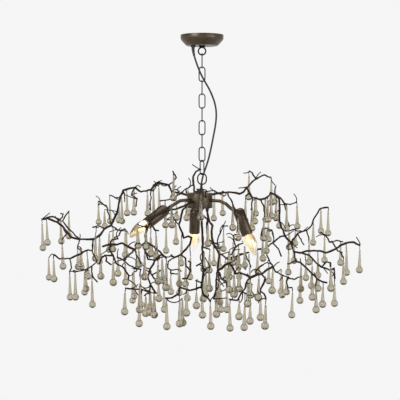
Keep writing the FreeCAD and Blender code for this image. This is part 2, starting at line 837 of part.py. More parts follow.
def room_round(drop, twig_runs, lamps, placed):
    """The least space between a drop and the twigs, lamps and drops round it."""
    x, y, top, length = drop
    least = float("inf")
    for run, radius in drop_runs(x, y, top, length):
        for (start, end), width in twig_runs:
            if min(start[0], end[0]) > x + 40 or max(start[0], end[0]) < x - 40:
                continue
            least = min(least, distance(run, (start, end)) - radius - width)
        for other_run, other_radius in lamps:
            least = min(least, distance(run, other_run) - radius - other_radius)
        for other in placed:
            if abs(other[0] - x) > 25 or abs(other[1] - y) > 25:
                continue
            for other_run, other_radius in drop_runs(*other):
                least = min(least, distance(run, other_run) - radius - other_radius)
    return least


def twig_spots(twigs, across, down):
    """Places on the twigs that the picture shows near a reading, nearest first."""
    spots = []
    for _, _, points in twigs:
        for start, end in zip(points, points[1:]):
            step = minus(end, start)
            count = max(2, int(math.sqrt(dot(step, step)) / 3))
            for i in range(count + 1):
                spot = along(start, step, i / count)
                u, v = in_picture(spot)
                error = math.hypot(u - across, 0.6 * (v - down))
                if error < 13:
                    spots.append((error, spot))
    return [spot for error, spot in sorted(spots, key=lambda item: item[0])]


def hang(reading, twigs, twig_runs, lamps, placed):
    """A drop on the nearest twig that leaves it room: x, y, twig height, eye height, length."""
    across, down, eye = reading
    for x, y, z in twig_spots(twigs, across, (eye or down - 22) - 4):
        if eye:
            top = min(height_at(eye, y), z - 7)
            length = top - height_at(down + 3.6, y)
            length = max(drop_shortest.value, min(drop_longest.value, length))
        else:
            top = z - 9
            length = drop_length.value
        drop = (round(x), round(y), round(top), 2 * round(length / 2))
        if room_round(drop, twig_runs, lamps, placed) > drop_clearance.value:
            return drop[0], drop[1], round(z), drop[2], drop[3]
    raise ValueError(f"no room for the drop at {across}, {down}")


def rounded_route(points):
    """Straight runs joined by tangent arcs, as edges."""
    edges = []
    radii = []
    start = points[0]
    for before, corner, after in zip(points, points[1:], points[2:]):
        back = (before - corner)
        ahead = (after - corner)
        short = min(back.Length, ahead.Length)
        turn = math.pi - back.getAngle(ahead)
        radius = 0.45 * short / math.tan(turn / 2)
        radii.append(radius)
        back.normalize()
        ahead.normalize()
        enter = corner + back * (0.45 * short)
        leave = corner + ahead * (0.45 * short)
        centre = corner + (back + ahead).normalize() * math.hypot(radius, 0.45 * short)
        middle = centre + (corner - centre).normalize() * radius
        edges.append(Part.makeLine(start, enter))
        edges.append(Part.Arc(enter, middle, leave).toShape())
        start = leave
    edges.append(Part.makeLine(start, points[-1]))
    return edges, radii


# Cable points right of the chain's axis, in front of it and above the hub centre
CABLE_ROUTE = [
    (-24, -12, 400),
    (-16, -12, 372),
    (-3, -12, 340),
    (8, -12.5, 320),
    (20, -12, 300),
    (31, -11.5, 275),
    (37, -11, 253),
    (39, -10.5, 231),
    (37, -10, 206),
    (31, -10, 175),
    (24.5, -10.5, 141),
    (17, -11, 109),
    (7, -10.5, 80),
    (-0.5, -9, 56),
]


def make_cable():
    bottom = -rose_height.value - gland_height.value
    points = [V(gland_x.value, gland_y.value, bottom - gap.value)]
    for x, y, height in CABLE_ROUTE:
        points.append(V(x, y, height - hub_drop.value))
    landing = hub_height.value / 2 + holder_height.value + 3 * gap.value
    holder_front = -(lug_half_width.value + 0.4 + cable_diameter.value / 2)
    points.append(V(-3.5, holder_front, landing - hub_drop.value))
    edges, radii = rounded_route(points)
    print("cable bend radii in diameters:", [round(r / cable_diameter.value, 1) for r in radii])
    spine = Part.Wire(edges)
    forward = (points[1] - points[0]).normalize()
    radius = cable_diameter.value / 2
    section = first_ring(points[0], forward, radius * 1.1, SIDES_CABLE)
    profile = Part.makePolygon(section + [section[0]])
    shell = spine.makePipeShell([profile], True, False)
    area = Part.Face(profile).Area
    print("cable volume over section times length:", round(shell.Volume / area / spine.Length, 4))
    print("cable length:", round(spine.Length, 1))
    free_shape("supply_cable", shell)


# Readings of the photograph, by eye, in picture points (across, down).
# A twig has a name, a thickness and points with the judged depth in millimetres behind the hub.
# A drop has the place of its ball's middle and the height of its eye, or None where the eye is hidden.
LEFT_TWIGS = [
    ("stem", "trunk", [(190, 196, -5), (180, 193, 20), (172, 192, 40), (169, 185, 60),
        (158, 182.5, 75), (151, 190, 85), (141, 192, 90), (135.5, 187, 90), (124, 190.5, 80),
        (120, 198, 70), (117.5, 212, 55), (111, 225.5, 35), (104, 229, 20), (99.5, 235, 10),
        (93, 240, 0), (79, 239.5, -10), (70, 236.5, -15), (62, 227, -20), (57.5, 222.5, -20),
        (47, 217.8, -15), (41, 219.5, -10)]),
    ("loop", "twig", [(57.5, 222.5, -20), (59, 219, -40), (53, 216.3, -50), (46.5, 217.5, -55)]),
    ("curl", "twig", [(57.5, 222.5, -20), (62.5, 217, 0), (63, 214, 10), (60, 213.5, 15)]),
    ("upper", "twig", [(79, 239.5, -10), (74, 235, 20), (66, 226, 50), (62, 221, 70), (68.5, 211, 90)]),
    ("hook", "twig", [(62, 227, -20), (66, 233, -60), (61.5, 240, -80)]),
    ("low", "limb", [(93, 240, 0), (92, 251, -30), (88, 250, -40), (81, 253.5, -45), (69, 259, -50),
        (58.5, 259.5, -60), (53, 255.5, -70)]),
    ("low_down", "twig", [(69, 259, -50), (70.5, 269, -70), (69, 272, -80)]),
    ("low_inner", "twig", [(92, 251, -30), (96, 262, -60), (91, 267, -80), (85, 271, -90),
        (76, 272.3, -95), (72, 271, -100)]),
    ("low_front", "twig", [(91, 267, -80), (91, 276, -120), (96.5, 283, -140)]),
    ("mid", "twig", [(79, 239.5, -10), (77, 248, 40), (81.5, 252.5, 70)]),
    ("far_top", "twig", [(120, 198, 70), (115, 197, 110), (109.5, 194.5, 140)]),
    ("side", "twig", [(111, 225.5, 35), (109, 216, 90), (106, 206, 130), (98.5, 201.5, 160)]),
    ("top_a", "twig", [(124, 190.5, 80), (124.5, 202, 110)]),
    ("top_b", "twig", [(135.5, 187, 90), (131.5, 195, 60), (137, 198.5, 40), (135.5, 207, 30)]),
    ("top_c", "twig", [(151, 190, 85), (150.3, 203, 120), (150.7, 210, 135)]),
    ("top_d", "limb", [(158, 182.5, 75), (154.5, 184.5, 30), (151, 191, -20), (154, 190.5, -60)]),
    ("top_e", "twig", [(169, 185, 60), (174, 181, 30), (176, 177, 0), (173, 171, -40)]),
    ("knee", "limb", [(111, 225.5, 35), (115, 229, 90), (120, 231, 120)]),
    ("knee_low", "twig", [(120, 231, 120), (119, 236, 160), (112, 239, 190)]),
    ("knee_tip", "twig", [(120, 231, 120), (124.7, 228.5, 140)]),
    ("inner", "twig", [(104, 229, 20), (97, 225.5, -30), (93, 227.5, -50)]),
    ("arm_side", "twig", [(172, 192, 40), (170, 199, 0), (165, 200, -20), (160, 200.5, -35)]),
]
LEFT_DROPS = [
    (39.5, 248, 223), (46, 242, 222), (60, 241.5, 222), (69, 235.5, 215), (60.5, 267, 247),
    (52, 280, 260), (75, 267, 252), (81, 267, 252), (68.8, 297.5, 276), (75.5, 298.5, 274),
    (84.7, 290, 272), (87.5, 277, 258), (88.7, 306, 281), (94, 259, 235), (97, 262, 238),
    (98, 222, 206), (108, 221, 198.5), (121, 221, 200), (127, 213, 192), (134.5, 212.5, 191),
    (147, 213.5, 194.5), (153, 218, 189), (159, 209.5, 187), (173, 198, 176), (125, 254, 232),
    (113.5, 251, None), (165, 225, 203),
]
FRONT_LEFT_TWIGS = [
    ("stem", "stem", [(195, 202, -27), (183, 206, -80), (165, 212, -125), (155, 217, -150),
        (150, 222, -160), (147, 228, -165), (144.5, 237, -165), (146, 242.5, -165), (142, 245.5, -160),
        (134, 250, -150), (128, 246.5, -140), (122, 243.8, -130), (115, 244.5, -120),
        (109.5, 245, -115), (101.5, 246.8, -110)]),
    ("right", "limb", [(146, 242.5, -165), (155, 248, -185), (162, 255, -200), (156, 259, -215),
        (153, 265, -225), (150, 270, -230), (147.5, 279, -235), (150.5, 286, -240), (156, 294.5, -245)]),
    ("fork", "twig", [(150.5, 286, -240), (149, 293, -210), (144, 297, -180)]),
    ("fork_left", "twig", [(149, 293, -210), (142, 291, -170), (135, 290, -140), (124, 289.5, -120)]),
    ("fork_low", "twig", [(142, 291, -170), (139.2, 297, -200)]),
    ("right_low", "twig", [(150, 270, -230), (151, 276, -190), (156, 281, -170), (163.5, 281.5, -160),
        (163, 287, -170)]),
    ("right_up", "twig", [(151, 276, -190), (158.5, 273, -150), (160, 271, -140)]),
    ("right_tip", "twig", [(162, 255, -200), (166.5, 258, -230)]),
    ("spur", "twig", [(162, 255, -200), (154, 261.5, -250), (148, 260, -265), (145, 253, -275),
        (144.5, 250, -280)]),
    ("across", "twig", [(150, 222, -160), (155, 230, -195), (159, 231.5, -205)]),
    ("nib", "twig", [(147, 228, -165), (145.5, 225.5, -190)]),
    ("down", "limb", [(134, 250, -150), (131, 253, -110), (125, 259.5, -60), (122, 260, -30),
        (117, 257, 0)]),
    ("down_right", "twig", [(122, 260, -30), (129.5, 266, 0), (134, 268.5, 20), (140, 270, 20),
        (140.3, 277, 10)]),
    ("down_end", "twig", [(134, 268.5, 20), (136.5, 271.5, 60), (132.5, 273.5, 80)]),
    ("drop_down", "twig", [(134, 250, -150), (136.5, 256, -190), (141, 264, -220)]),
    ("left_up", "twig", [(109.5, 245, -115), (112, 240, -80), (118, 239, -60)]),
    ("left_down", "limb", [(109.5, 245, -115), (109, 250, -150), (112.5, 255.7, -180),
        (105, 256, -195), (100, 259, -205), (98.5, 264, -210)]),
    ("left_low", "twig", [(112.5, 255.7, -180), (116, 263, -190), (123, 269, -200), (127.5, 276, -205),
        (127.5, 281, -200)]),
    ("left_end", "twig", [(105, 256, -195), (106, 262, -225), (111.5, 265, -240)]),
]
FRONT_LEFT_DROPS = [
    (138, 262, 250), (145.5, 247, 230), (154.5, 254, 236), (159, 259, 236), (163, 269, None),
    (158.5, 282.5, 265), (140.5, 278, 255), (112.5, 284, 262), (118, 271, 261), (124, 283, 262),
    (133.5, 297, 272), (131, 301.5, 281), (123.7, 313.5, 293), (140.3, 306, 282), (139.2, 325, 301),
    (145, 315.8, 298), (150, 314, 296), (154, 316.5, 296), (158.5, 300, 285), (166.5, 288, 262),
    (163, 310, 292),
]
FRONT_TWIGS = [
    ("stem", "trunk", [(201.5, 207, -22), (202.3, 215, -30), (202.3, 230, -50), (202.5, 247, -100),
        (202, 262, -140), (203.3, 273, -165), (202.5, 283, -180), (202, 288, -190)]),
    ("low", "limb", [(202, 288, -190), (190, 291, -220), (180, 289, -240), (179, 294, -250),
        (172, 298.5, -260), (165.5, 299, -270)]),
    ("low_right", "twig", [(202, 288, -190), (203.5, 296, -200), (211, 303, -210)]),
    ("knot", "twig", [(203.3, 273, -165), (205, 270.5, -190), (209, 267, -210)]),
    ("link", "twig", [(202, 262, -140), (196, 266.7, -130)]),
    ("left_a", "twig", [(202.5, 283, -180), (195.7, 281.5, -200)]),
    ("right_a", "twig", [(202.5, 247, -100), (209.5, 250, -70)]),
    ("hub_front", "twig", [(206, 198, -27), (206, 190, -75), (200.7, 188.5, -105)]),
    ("hub_right", "twig", [(202.3, 215, -30), (208, 220, -20)]),
]
FRONT_DROPS = [
    (200.7, 216.7, 193), (210, 271, 254), (210.5, 290, 272), (166, 328, 304), (181.5, 325, 302),
    (195.7, 306, 286), (202, 317, 294), (207.3, 300, 280), (211.5, 328.5, 307), (186.5, 314.5, 295),
    (208, 244, 225),
]
BACK_LEFT_TWIGS = [
    ("stem", "stem", [(192, 201, 18), (183, 210, 50), (179, 225, 80), (181.5, 232, 90), (184, 238, 95),
        (188, 236.5, 85), (191.5, 238, 75), (190, 245, 60), (181, 255, 40), (175, 257.5, 30),
        (170.5, 256, 20)]),
    ("up", "twig", [(179, 225, 80), (175, 220, 100), (171, 219.5, 110), (166, 220.5, 120)]),
    ("low", "twig", [(181, 255, 40), (185.5, 259, 20), (185.5, 267, 0), (188, 268.5, -10),
        (190.8, 272, -20), (187, 279.5, -30), (182, 279.5, -40)]),
    ("curl", "twig", [(190.8, 272, -20), (190.5, 264, -50), (188, 261.5, -60)]),
    ("left", "twig", [(175, 257.5, 30), (168.5, 262, 60), (168, 268, 70), (171, 270.5, 70),
        (177.5, 270, 60)]),
    ("end", "twig", [(171, 270.5, 70), (170.8, 274, 40), (177.5, 274.5, 20)]),
    ("end_tip", "twig", [(177.5, 270, 60), (181.8, 271, 40)]),
]
BACK_LEFT_DROPS = [
    (166, 251, 228), (176.5, 242, 225), (178.5, 263, 240), (170, 292.5, 279), (179, 284, 262),
    (184.5, 285, 264), (187.5, 300, 284), (194.3, 278, 257), (181.8, 294, 276),
]
BACK_RIGHT_TWIGS = [
    ("stem", "stem", [(208, 203, 25), (207, 215, 45), (207, 230, 60), (208, 238, 90),
        (212, 242.5, 120), (219, 253, 160), (226.5, 258.3, 190), (235, 258, 210), (245, 254, 230),
        (256, 250, 240), (262, 250, 245)]),
    ("up", "twig", [(212, 242.5, 120), (216.5, 244, 160), (220, 234, 190), (223, 226.3, 210),
        (228, 226.3, 220)]),
    ("small", "twig", [(216.5, 244, 160), (221, 250.5, 200)]),
    ("arch", "twig", [(226.5, 258.3, 190), (232, 254, 150), (236.5, 247, 130), (239, 244.5, 120),
        (245, 243, 110)]),
    ("arch_top", "twig", [(236.5, 247, 130), (234, 241, 160), (233.5, 236, 180), (236, 234.5, 190)]),
    ("short", "twig", [(235, 258, 210), (239.5, 264, 250), (246, 270, 280)]),
    ("low", "twig", [(226.5, 258.3, 190), (229.5, 264, 230), (225, 266, 250)]),
    ("drop_arm", "twig", [(245, 254, 230), (249.3, 262, 200), (251, 268, 180)]),
]
BACK_RIGHT_DROPS = [
    (223.8, 249, 233), (234.5, 263, 242), (247, 268, None), (225.5, 284, None), (239.5, 280, None),
    (251, 289, None), (258, 272, None), (244.5, 264, None),
]
FRONT_RIGHT_TWIGS = [
    ("stem", "stem", [(206, 207, -20), (209, 220.5, -70), (212.5, 226, -100), (211.5, 232, -120),
        (213, 243, -150), (216, 249, -170), (219, 255, -190), (217.5, 268, -205), (217.2, 271, -210),
        (222, 269, -220), (225, 265, -230), (229.5, 264, -240), (233, 268, -250), (236, 274.5, -255),
        (241, 273.5, -265), (247, 275.5, -270), (251, 278, -275), (256, 275.5, -275),
        (262, 274.7, -270), (268, 270, -260), (273, 267, -250)]),
    ("down", "limb", [(217.2, 271, -210), (216.8, 280, -230), (216, 290, -250), (214, 300, -270)]),
    ("fall_up", "twig", [(256, 275.5, -275), (256.5, 271, -240), (263, 265, -200)]),
    ("fall_down", "twig", [(262, 274.7, -270), (267, 280, -265), (264, 286, -260), (261, 292, -255),
        (258, 296, -250), (250, 296, -240), (243, 294, -230)]),
    ("fall_tip", "twig", [(261, 292, -255), (264, 295, -285), (266.5, 300, -300)]),
    ("fall_left", "twig", [(251, 278, -275), (246, 284, -250), (245, 289, -240), (243, 294, -230),
        (238, 301, -220), (229, 301, -210)]),
    ("inner_low", "twig", [(217.2, 271, -210), (222, 280, -170), (227, 282, -150), (227, 290, -130)]),
]
FRONT_RIGHT_DROPS = [
    (218.5, 303.5, 280), (227, 311, 287), (220, 316, None), (229.8, 330, 306), (232.5, 296, 276),
    (240.5, 316, 303), (240.7, 329, 307), (247.5, 305, 285), (247.2, 323.3, 303), (260.3, 299, 279),
    (262, 311, None), (265.5, 328.5, 306), (273.7, 291, 272), (252, 293, 280), (230, 294, None),
]
RIGHT_TWIGS = [
    ("stem", "stem", [(211, 194.5, 5), (227, 192.5, 15), (233, 192.5, 20), (240, 193.5, 20),
        (243, 191.5, 20), (245.5, 188, 20), (249, 192, 15), (252, 197, 10), (260, 199.3, 0),
        (266, 199, 20), (270.5, 192.5, 60), (275, 195, 70), (279, 199, 75), (280, 210, 70),
        (280, 222, 50), (282, 229, 35), (286, 236, 20), (291, 243, 10), (294, 252, 0),
        (302, 253.5, -10), (308, 251.3, -10), (315, 250.5, -10), (320, 251, -15), (327, 253, -20),
        (337, 248.7, -20), (346, 243, -20), (355, 242.5, -15), (360.5, 245.5, -10)]),
    ("rise", "limb", [(245.5, 188, 20), (249, 186, 50), (255.5, 179, 80), (264, 175, 110),
        (270.5, 177, 130)]),
    ("rise_left", "twig", [(255.5, 179, 80), (252, 172.5, 110), (249, 171, 120)]),
    ("drip", "twig", [(249, 192, 15), (246, 196.5, -30)]),
    ("down_a", "twig", [(227, 192.5, 15), (231.5, 200, -70), (234.5, 208, -120)]),
    ("down_b", "twig", [(234.5, 208, -120), (238, 213, -140)]),
    ("fall", "twig", [(252, 197, 10), (252, 203, -50), (251, 210, -95)]),
    ("over", "twig", [(260, 199.3, 0), (263, 205, -50), (264.5, 213, -90)]),
    ("bow", "limb", [(275, 195, 70), (281, 197.5, 120), (284, 203, 160), (286, 212, 180),
        (287, 220, 190), (290, 227, 200)]),
    ("reach", "twig", [(284, 203, 160), (290, 204.5, 140), (297, 202.5, 120)]),
    ("back", "twig", [(280, 210, 70), (274, 216, 130), (268, 217.5, 170)]),
    ("up", "limb", [(291, 243, 10), (298, 234, 50), (303, 231.5, 70), (307, 230, 90), (311, 226, 105),
        (314, 219, 115), (317.5, 213, 120), (320.5, 208.5, 120), (328.5, 207.5, 110)]),
    ("up_right", "twig", [(307, 230, 90), (309, 236, 60), (309.5, 241, 40)]),
    ("up_left", "twig", [(303, 231.5, 70), (294, 230, 120), (290, 231, 150)]),
    ("mid", "twig", [(298, 234, 50), (302, 241, 100), (304, 245, 130)]),
    ("low", "limb", [(302, 253.5, -10), (310, 255, -50), (314, 260, -80), (322, 268, -100),
        (330, 271, -110), (335, 269.5, -110), (335.3, 279.5, -130)]),
    ("low_up", "twig", [(322, 268, -100), (327, 262.5, -140), (331, 263, -150)]),
    ("low_left", "limb", [(294, 252, 0), (296, 261, -60), (302, 264, -90), (306, 267, -110),
        (311, 272, -130), (318, 279.3, -140), (323, 282, -145), (328, 283.5, -150)]),
    ("low_end", "twig", [(318, 279.3, -140), (317, 286.5, -170)]),
    ("low_side", "twig", [(296, 261, -60), (289, 265, -20)]),
    ("inner", "limb", [(286, 236, 20), (281, 237, 60), (273, 243, 90), (268, 247, 110),
        (266, 252, 120), (270, 260, 130), (273, 267, 120), (276, 272, 110)]),
    ("inner_right", "twig", [(273, 243, 90), (278, 248.5, 120), (282, 257, 140)]),
    ("inner_up", "twig", [(273, 243, 90), (274.5, 238, 60), (272, 231, 10), (268, 228.5, -30),
        (262, 229, -70), (261, 236, -85)]),
    ("inner_low", "twig", [(276, 272, 110), (283, 276, 60), (289, 278, 20), (287, 283, -20),
        (289, 289, -40), (293, 289.5, -60)]),
    ("inner_end", "twig", [(289, 278, 20), (294, 280.5, -40), (302, 277.5, -80)]),
    ("stem_tip", "twig", [(291, 243, 10), (287.5, 247.5, 40)]),
    ("far_up", "twig", [(337, 248.7, -20), (333, 243, 30), (330, 242.5, 50), (326, 235, 80),
        (321, 233, 100)]),
    ("far_loop", "twig", [(330, 242.5, 50), (338, 240, 100), (344, 242, 120)]),
    ("far_down", "twig", [(337, 248.7, -20), (341, 253, -60), (344, 257.5, -80)]),
]
RIGHT_DROPS = [
    (232, 227.5, 208), (238, 238.5, 218), (246, 221, 201), (255.8, 219.5, None), (248.5, 197, 175),
    (270.8, 202.5, 181), (264.5, 238, 217), (272, 214, None), (277.5, 219, None), (252, 231, None),
    (267.5, 222, None), (282, 296, 280), (289, 287, 269), (287.5, 273, 252), (294, 265, None),
    (302, 290, 268), (302.3, 302, 281), (305.5, 278.5, 262), (293, 316.5, 293), (311.5, 287.5, 267),
    (317, 290, None), (314, 297.5, None), (318, 311, 290), (318, 275.5, 258), (309.2, 263, 245),
    (331, 289, 268), (335.3, 305, 284), (325.5, 260.5, 238), (342, 262.5, 244), (347.3, 273, 249.5),
    (344, 282, 262), (360.3, 271, 250.5), (294.5, 228.5, 207), (297, 226.5, 206), (320.7, 231, 211),
    (328.5, 233, 212), (314, 246, None), (261, 259, 240), (327.5, 306, 287), (268.5, 240, None),
    (290, 250, None),
]
BACK_TWIGS = [
    ("stem", "stem", [(193, 197, 24), (194.5, 191, 60), (193.5, 184, 90), (193.3, 176, 120),
        (196, 171.7, 130), (201, 169, 130)]),
    ("left", "twig", [(193.5, 184, 90), (186, 189, 130), (180, 194, 170), (176, 196, 190)]),
    ("left_tip", "twig", [(186, 189, 130), (187, 196, 160)]),
    ("left_end", "twig", [(180, 194, 170), (177, 190, 200), (174, 188.5, 220)]),
    ("right", "twig", [(194.5, 191, 60), (206, 191.5, 90), (214.5, 190.5, 130), (224, 196, 170)]),
]
BACK_DROPS = [
    (190.8, 203, 181), (214.3, 218, 193), (176.5, 218, 205), (187, 217, 201),
]

BRANCHES = {
    "left": (LEFT_TWIGS, LEFT_DROPS),
    "front_left": (FRONT_LEFT_TWIGS, FRONT_LEFT_DROPS),
    "front": (FRONT_TWIGS, FRONT_DROPS),
    "back_left": (BACK_LEFT_TWIGS, BACK_LEFT_DROPS),
    "back_right": (BACK_RIGHT_TWIGS, BACK_RIGHT_DROPS),
    "front_right": (FRONT_RIGHT_TWIGS, FRONT_RIGHT_DROPS),
    "right": (RIGHT_TWIGS, RIGHT_DROPS),
    "back": (BACK_TWIGS, BACK_DROPS),
}


def make_branches():
    shapes = {}
    twig_runs = []
    for name, (twigs, _) in BRANCHES.items():
        shapes[name] = [(twig, kind, [seen(name, spot) for spot in spots]) for twig, kind, spots in twigs]
        for _, kind, points in shapes[name]:
            twig_runs += [(run, TWIG_KINDS[kind][0].value) for run in zip(points, points[1:])]
    lamps = lamp_runs()
    placed = []
    for name, (_, readings) in BRANCHES.items():
        drops = {}
        for reading in readings:
            drop = hang(reading, shapes[name], twig_runs, lamps, placed)
            drops[reading[:2]] = drop
            placed.append((drop[0], drop[1], drop[3], drop[4]))
        swinging = {reading: label for label, (branch, reading) in HANGING.items() if branch == name}
        make_branch(name, shapes[name], drops, swinging)
        make_drops(name, [drop for reading, drop in drops.items() if reading not in swinging])
        for reading, label in swinging.items():
            make_hanging_drop(label, drops[reading])


def check_all():
    for name, item in made.items():
        shape = item.Shape
        if shape.isNull() or not shape.isValid():
            raise ValueError(f"{name} has a bad shape")
    for item in doc.Objects:
        if "Invalid" in item.State or "Error" in item.State:
            raise ValueError(f"{item.Name} is in state {item.State}")


doc.recompute()
make_bracket()
make_rose()
make_eye()
make_gland()
make_links()
make_ring()
make_holder()
make_hub()
make_block()
make_lamps()
make_branches()
make_cable()
doc.recompute()
check_all()
os.makedirs("parts", exist_ok=True)
for part_name, part_item in made.items():
    part_item.Shape.exportStep(f"parts/{part_name}.step")
print(len(made), "sub-parts written")
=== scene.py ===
import json
import random
from collections import namedtuple
from math import asin, atan2, cos, exp, hypot, pi, radians, sin

import bpy
from mathutils import Matrix, Vector
from mathutils.bvhtree import BVHTree


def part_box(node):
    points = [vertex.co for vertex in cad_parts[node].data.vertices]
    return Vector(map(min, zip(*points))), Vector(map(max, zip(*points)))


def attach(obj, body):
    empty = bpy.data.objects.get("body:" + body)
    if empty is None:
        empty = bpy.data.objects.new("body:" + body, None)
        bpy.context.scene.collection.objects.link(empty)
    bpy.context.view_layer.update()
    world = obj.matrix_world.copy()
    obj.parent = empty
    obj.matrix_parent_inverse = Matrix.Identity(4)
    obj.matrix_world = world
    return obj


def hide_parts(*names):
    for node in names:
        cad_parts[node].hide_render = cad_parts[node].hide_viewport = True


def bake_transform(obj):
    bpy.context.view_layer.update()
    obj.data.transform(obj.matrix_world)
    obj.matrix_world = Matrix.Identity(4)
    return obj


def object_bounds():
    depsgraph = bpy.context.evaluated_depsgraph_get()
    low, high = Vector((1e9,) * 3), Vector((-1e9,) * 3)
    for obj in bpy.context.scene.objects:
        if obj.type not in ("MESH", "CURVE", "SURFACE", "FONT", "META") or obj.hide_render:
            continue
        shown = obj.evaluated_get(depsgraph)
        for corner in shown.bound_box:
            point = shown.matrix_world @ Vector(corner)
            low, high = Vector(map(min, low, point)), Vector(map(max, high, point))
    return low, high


# Looks of a hanging chandelier with twig branches and glass drops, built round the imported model.
# Metres. +Z is up, +Y points away from the viewer.

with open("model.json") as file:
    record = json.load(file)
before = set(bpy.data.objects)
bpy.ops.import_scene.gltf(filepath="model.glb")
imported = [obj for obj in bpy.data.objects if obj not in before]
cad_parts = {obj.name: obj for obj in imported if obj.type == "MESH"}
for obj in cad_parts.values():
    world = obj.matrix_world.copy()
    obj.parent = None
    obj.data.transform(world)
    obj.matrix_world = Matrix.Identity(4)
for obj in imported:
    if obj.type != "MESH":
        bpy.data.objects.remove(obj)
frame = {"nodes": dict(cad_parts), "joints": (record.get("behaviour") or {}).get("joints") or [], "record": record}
cad_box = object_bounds()
nodes = frame["nodes"]
joints = {joint["name"]: joint for joint in frame["joints"]}

BRANCHES = ["left", "front_left", "front", "back_left", "back_right", "front_right", "right", "back"]
HANGING = [
    "far_right", "right_rim", "right_inner", "low_front",
    "left_low", "left_inner", "hub_front", "left_edge",
]
LAMPS = ["left", "right", "back"]
LINKS = 9

# The photograph's view: side and focal length in picture points, sensor in millimetres
PICTURE_SIDE = 400
FOCAL_POINTS = 877.5
SENSOR = 36.0
VIEW_DISTANCE = 2.4
VIEW_PITCH = radians(4.5)

# The studio: the paper's brightness, how far out the floor has faded into it and how much of it
# the floor has in the middle, how far the floor is below the drops, and half its side
PAPER_WHITE = 0.92
FLOOR_FADE = 4.0
FLOOR_GLOW = 0.35
FLOOR_DROP = 2.2
FLOOR_HALF = 14.0

# Corners closer than this belong together, and the count of such steps in a metre
MERGE = 1e-5
GRID = 1e5

HUB_CENTRE = (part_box("hub_body")[0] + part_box("hub_body")[1]) / 2


# Materials

# Sockets of the colour mix node, which are known by number only
MIX_SHARE = 0
MIX_FIRST = 6
MIX_SECOND = 7
MIX_RESULT = 2


def node_material(name):
    """A node material that holds only its output and a Principled shader."""
    material = bpy.data.materials.new(name)
    material.use_nodes = True
    tree = material.node_tree
    tree.nodes.clear()
    output = add_node(tree, "ShaderNodeOutputMaterial")
    shader = add_node(tree, "ShaderNodeBsdfPrincipled")
    join(shader.outputs["BSDF"], output.inputs["Surface"])
    return material, tree, shader


def add_node(tree, kind, **values):
    """A new node with values for some of its inputs, whose names have _ for a space."""
    node = tree.nodes.new(kind)
    for name, value in values.items():
        node.inputs[name.replace("_", " ")].default_value = value
    return node


def join(result, into):
    """Leads a node's result into another node's input."""
    into.id_data.links.new(result, into)


def place_coordinates(tree):
    """Coordinates that stay with the surface."""
    return add_node(tree, "ShaderNodeTexCoord").outputs["Object"]


def grain(tree, scale, detail=3.0, roughness=0.55):
    """A noise value of a given fineness, in features to the metre."""
    texture = add_node(tree, "ShaderNodeTexNoise", Scale=scale, Detail=detail, Roughness=roughness)
    join(place_coordinates(tree), texture.inputs["Vector"])
    return texture.outputs["Fac"]


def ramp(tree, value, stops):
    """Colours along a value; stops are (place, colour)."""
    colours = add_node(tree, "ShaderNodeValToRGB")
    elements = colours.color_ramp.elements
    for element, (place, colour) in zip(elements, stops[:2]):
        element.position = place
        element.color = (*colour, 1)
    for place, colour in stops[2:]:
        element = elements.new(place)
        element.color = (*colour, 1)
    join(value, colours.inputs["Fac"])
    return colours.outputs["Color"]


def painted_rim_shade(tree, colour, start, dark):
    """Glass colour with painted shade that deepens where the surface turns away from the view, standing in for
    dark surroundings seen through the glass's edge.
    """
    weight = add_node(tree, "ShaderNodeLayerWeight", Blend=0.5)
    shade = ramp(tree, weight.outputs["Facing"], [(start, (1, 1, 1)), (0.97, dark)])
    mix = add_node(tree, "ShaderNodeMix")
    mix.data_type = "RGBA"
    mix.blend_type = "MULTIPLY"
    mix.inputs[MIX_SHARE].default_value = 1.0
    join(colour, mix.inputs[MIX_FIRST])
    join(shade, mix.inputs[MIX_SECOND])
    return mix.outputs[MIX_RESULT]


def spread(tree, value, low, high):
    """A noise value, which mostly lies between 0.3 and 0.7, stretched to a range."""
    mapped = add_node(tree, "ShaderNodeMapRange", From_Min=0.3, From_Max=0.7, To_Min=low, To_Max=high)
    join(value, mapped.inputs["Value"])
    return mapped.outputs["Result"]


def paint(tree, shader, value, stops, socket="Base Color"):
    """Gives the shader a colour that changes along a value."""
    join(ramp(tree, value, stops), shader.inputs[socket])


def roughen(tree, shader, value, low, high):
    """Gives the shader a roughness that changes along a value."""
    join(spread(tree, value, low, high), shader.inputs["Roughness"])


def bump(tree, shader, height, strength, distance):
    """Gives the shader a fine relief from a height value."""
    relief = add_node(tree, "ShaderNodeBump", Strength=strength, Distance=distance)
    join(height, relief.inputs["Height"])
    join(relief.outputs["Normal"], shader.inputs["Normal"])


def mix_into(output, share, first, second):
    """Gives an output the first shader where the share is 0 and the second where it is 1."""
    mix = add_node(output.id_data, "ShaderNodeMixShader")
    join(share, mix.inputs["Fac"])
    join(first, mix.inputs[1])
    join(second, mix.inputs[2])
    join(mix.outputs["Shader"], output.inputs["Surface"])


def lacquered_metal(name, dark, light, metallic, smooth, rough, relief):
    """Coated metal with cloudy colour, worn patches and a faint orange-peel relief."""
    material, tree, shader = node_material(name)
    paint(tree, shader, grain(tree, 90, 4), [(0.3, dark), (0.75, light)])
    roughen(tree, shader, grain(tree, 260, 5), smooth, rough)
    shader.inputs["Metallic"].default_value = metallic
    shader.inputs["Specular IOR Level"].default_value = 0.25
    bump(tree, shader, grain(tree, 900, 3), relief, 0.0004)
    return material


def plastic(name, dark, light, rough):
    """Moulded plastic with a faint cloudiness and a fine grain."""
    material, tree, shader = node_material(name)
    paint(tree, shader, grain(tree, 140, 4), [(0.35, dark), (0.7, light)])
    roughen(tree, shader, grain(tree, 500, 4), rough - 0.08, rough + 0.1)
    bump(tree, shader, grain(tree, 2500, 2), 0.25, 0.0002)
    return material


